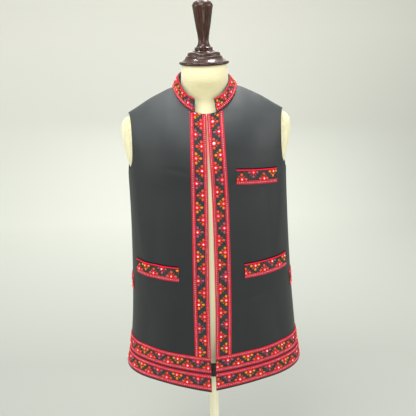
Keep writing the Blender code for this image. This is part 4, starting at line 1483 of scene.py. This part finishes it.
print("form faces", len(form.data.polygons))

# %% [markdown]
# ## Turned pieces
# The cap, its handle, the pole, the socket and the base are all turned work, which a lathe makes
# from a profile. A disc is drawn up ring by ring with extrude and resize, which comes to the same as a
# spin and leaves no seam to merge.

# %% Lathe
def turned(name, profile, finish, segments=72, smooth=35):
    """A closed turned piece from rings of (radius, height above the hem), bottom ring first."""
    choose()
    radius, height = profile[0]
    bpy.ops.mesh.primitive_circle_add(vertices=segments, radius=radius, fill_type="NGON",
                                      location=(0, 0, height + HEM_HEIGHT))
    piece = bpy.context.object
    piece.name = name
    bpy.ops.object.mode_set(mode="EDIT")
    bpy.ops.mesh.select_mode(type="FACE")
    bpy.ops.mesh.select_all(action="SELECT")
    for wider, higher in profile[1:]:
        bpy.ops.mesh.extrude_region_move(TRANSFORM_OT_translate={"value": (0, 0, higher - height)})
        bpy.ops.transform.resize(value=(wider / radius, wider / radius, 1))
        radius, height = wider, higher
    bpy.ops.mesh.select_all(action="SELECT")
    bpy.ops.mesh.normals_make_consistent(inside=False)
    bpy.ops.object.mode_set(mode="OBJECT")
    piece.data.materials.append(finish)
    finish_piece(piece, smooth)
    print(name, "faces", len(piece.data.polygons))
    return piece


def faired(profile, count):
    """The profile's radii read at even heights from a smooth curve through its rings."""
    rings = table("radius height", *profile)
    heights = np.linspace(profile[0][1], profile[-1][1], count)
    return list(zip(follow(rings, "height", "radius", heights).tolist(), heights.tolist()))

# %% [markdown]
# Each profile is a list of rings, (radius, height above the hem), from the bottom up. The cap has a
# rolled brim, a cove and a raised boss. Its handle has a beaded foot, a waisted shaft, whose few
# measured rings are read as one smooth curve, and a rounded top.

# %% Cap and handle
SHAFT_RINGS = 30
CAP_PROFILE = [
    (0.0500, 0.7208), (0.0535, 0.7206), (0.0552, 0.7211), (0.0561, 0.7224), (0.0563, 0.7242),
    (0.0558, 0.7260), (0.0549, 0.7273), (0.0541, 0.7277), (0.0530, 0.7280), (0.0505, 0.7295),
    (0.0470, 0.7316), (0.0440, 0.7337), (0.0420, 0.7358), (0.0408, 0.7377), (0.0402, 0.7389),
    (0.0392, 0.7395), (0.0380, 0.7396), (0.0376, 0.7406), (0.0371, 0.7427), (0.0361, 0.7450),
    (0.0345, 0.7470), (0.0322, 0.7481), (0.0296, 0.7487), (0.0270, 0.7489), (0.0262, 0.7494),
    (0.0252, 0.7501), (0.0244, 0.7508),
]
HANDLE_FOOT = [
    (0.0196, 0.7511), (0.0204, 0.7513), (0.0210, 0.7520), (0.0212, 0.7530), (0.0209, 0.7540),
    (0.0202, 0.7545), (0.0198, 0.7550), (0.0202, 0.7555), (0.0206, 0.7562), (0.0204, 0.7571),
    (0.0193, 0.7579), (0.0179, 0.7586), (0.0165, 0.7595),
]
HANDLE_SHAFT = [
    (0.0152, 0.7610), (0.0131, 0.7650), (0.0122, 0.7700), (0.0123, 0.7760), (0.0132, 0.7830),
    (0.0150, 0.7940), (0.0172, 0.8060), (0.0196, 0.8220), (0.0218, 0.8375), (0.0229, 0.8440),
]
HANDLE_TOP = [
    (0.0232, 0.8458), (0.0234, 0.8474), (0.0231, 0.8492), (0.0222, 0.8514), (0.0208, 0.8537),
    (0.0189, 0.8559), (0.0166, 0.8577), (0.0136, 0.8590), (0.0097, 0.8597), (0.0049, 0.8600),
]
cap = turned("wooden_cap", CAP_PROFILE, wood)
handle = turned("wooden_handle", HANDLE_FOOT + faired(HANDLE_SHAFT, SHAFT_RINGS) + HANDLE_TOP, wood, 56)

# %% [markdown]
# The pole runs from the base up into a black socket under the form. The base is a low disc with an
# eased edge, and it rises faintly towards the pole.

# %% Pole, socket and base
SOCKET_TOP = 0.0252              # inside the form's underside
SOCKET_BOTTOM = SOCKET_TOP - 0.065
BASE_TOP = 0.018 - HEM_HEIGHT
POLE_RADIUS = 0.0115
SOCKET_PROFILE = [               # here the heights are above the socket's own bottom
    (0.0255, 0.0000), (0.0270, 0.0003), (0.0288, 0.0016), (0.0298, 0.0035), (0.0300, 0.0060),
    (0.0300, 0.0200), (0.0290, 0.0206), (0.0290, 0.0222), (0.0300, 0.0228), (0.0300, 0.0650),
]
POLE_PROFILE = [
    (POLE_RADIUS - 0.0006, BASE_TOP + GAP), (POLE_RADIUS, BASE_TOP + 0.0012), (POLE_RADIUS, -0.20),
    (POLE_RADIUS, -0.10), (POLE_RADIUS, SOCKET_BOTTOM - 0.0010),
    (POLE_RADIUS - 0.0004, SOCKET_BOTTOM - GAP),
]
BASE_PROFILE = [                 # here the heights are above the floor
    (0.1470, 0.0000), (0.1492, 0.0008), (0.1500, 0.0030), (0.1500, 0.0095), (0.1492, 0.0118),
    (0.1470, 0.0132), (0.1430, 0.0140), (0.1300, 0.0148), (0.0900, 0.0160), (0.0420, 0.0170),
    (0.0300, 0.0176), (0.0200, 0.0180),
]


def shifted(profile, lift):
    """The profile's rings, all moved up or down."""
    return [(radius, height + lift) for radius, height in profile]


socket = turned("pole_socket", shifted(SOCKET_PROFILE, SOCKET_BOTTOM), black)
pole = turned("stand_pole", POLE_PROFILE, cream, 40)
base = turned("stand_base", shifted(BASE_PROFILE, -HEM_HEIGHT), wood, 96)

# %% [markdown]
# ## What each piece is
# The pieces ride on the one imported body and stand for its plain solids.

# %% Bodies and solids
def join_part(piece, slot, *nodes):
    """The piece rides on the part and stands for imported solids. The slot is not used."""
    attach(piece, "root")
    if nodes:
        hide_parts(*nodes)


STANDS_FOR = (
    (fronts[LEFT], "vest_cloth", "front_left"), (fronts[RIGHT], "vest_cloth", "front_right"),
    (back, "vest_cloth", "back"), (collar, "vest_cloth", "collar"), (form, "form_linen", "dress_form"),
    (cap, "dark_wood", "neck_cap"), (handle, "dark_wood", "finial"), (base, "dark_wood", "base"),
    (pole, "cream_paint", "pole"), (socket, "black_plastic", "socket"),
)
for piece, slot, node in STANDS_FOR:
    join_part(piece, slot, node)
for node, made in ribbons.items():
    join_part(made["piece"], "woven_trim", node)
    for trimming in trimmings[node]:
        join_part(trimming, "woven_trim")
print("pieces on the part:", len(STANDS_FOR) + 3 * len(ribbons))

# %% [markdown]
# A panel's flat size would be the rectangle that it is cut from, and its area that of the pattern
# inside it. A ribbon's would be its own width and length. None of these is set here.


print("flat sizes are not set")

# %% [markdown]

bpy.context.view_layer.update()
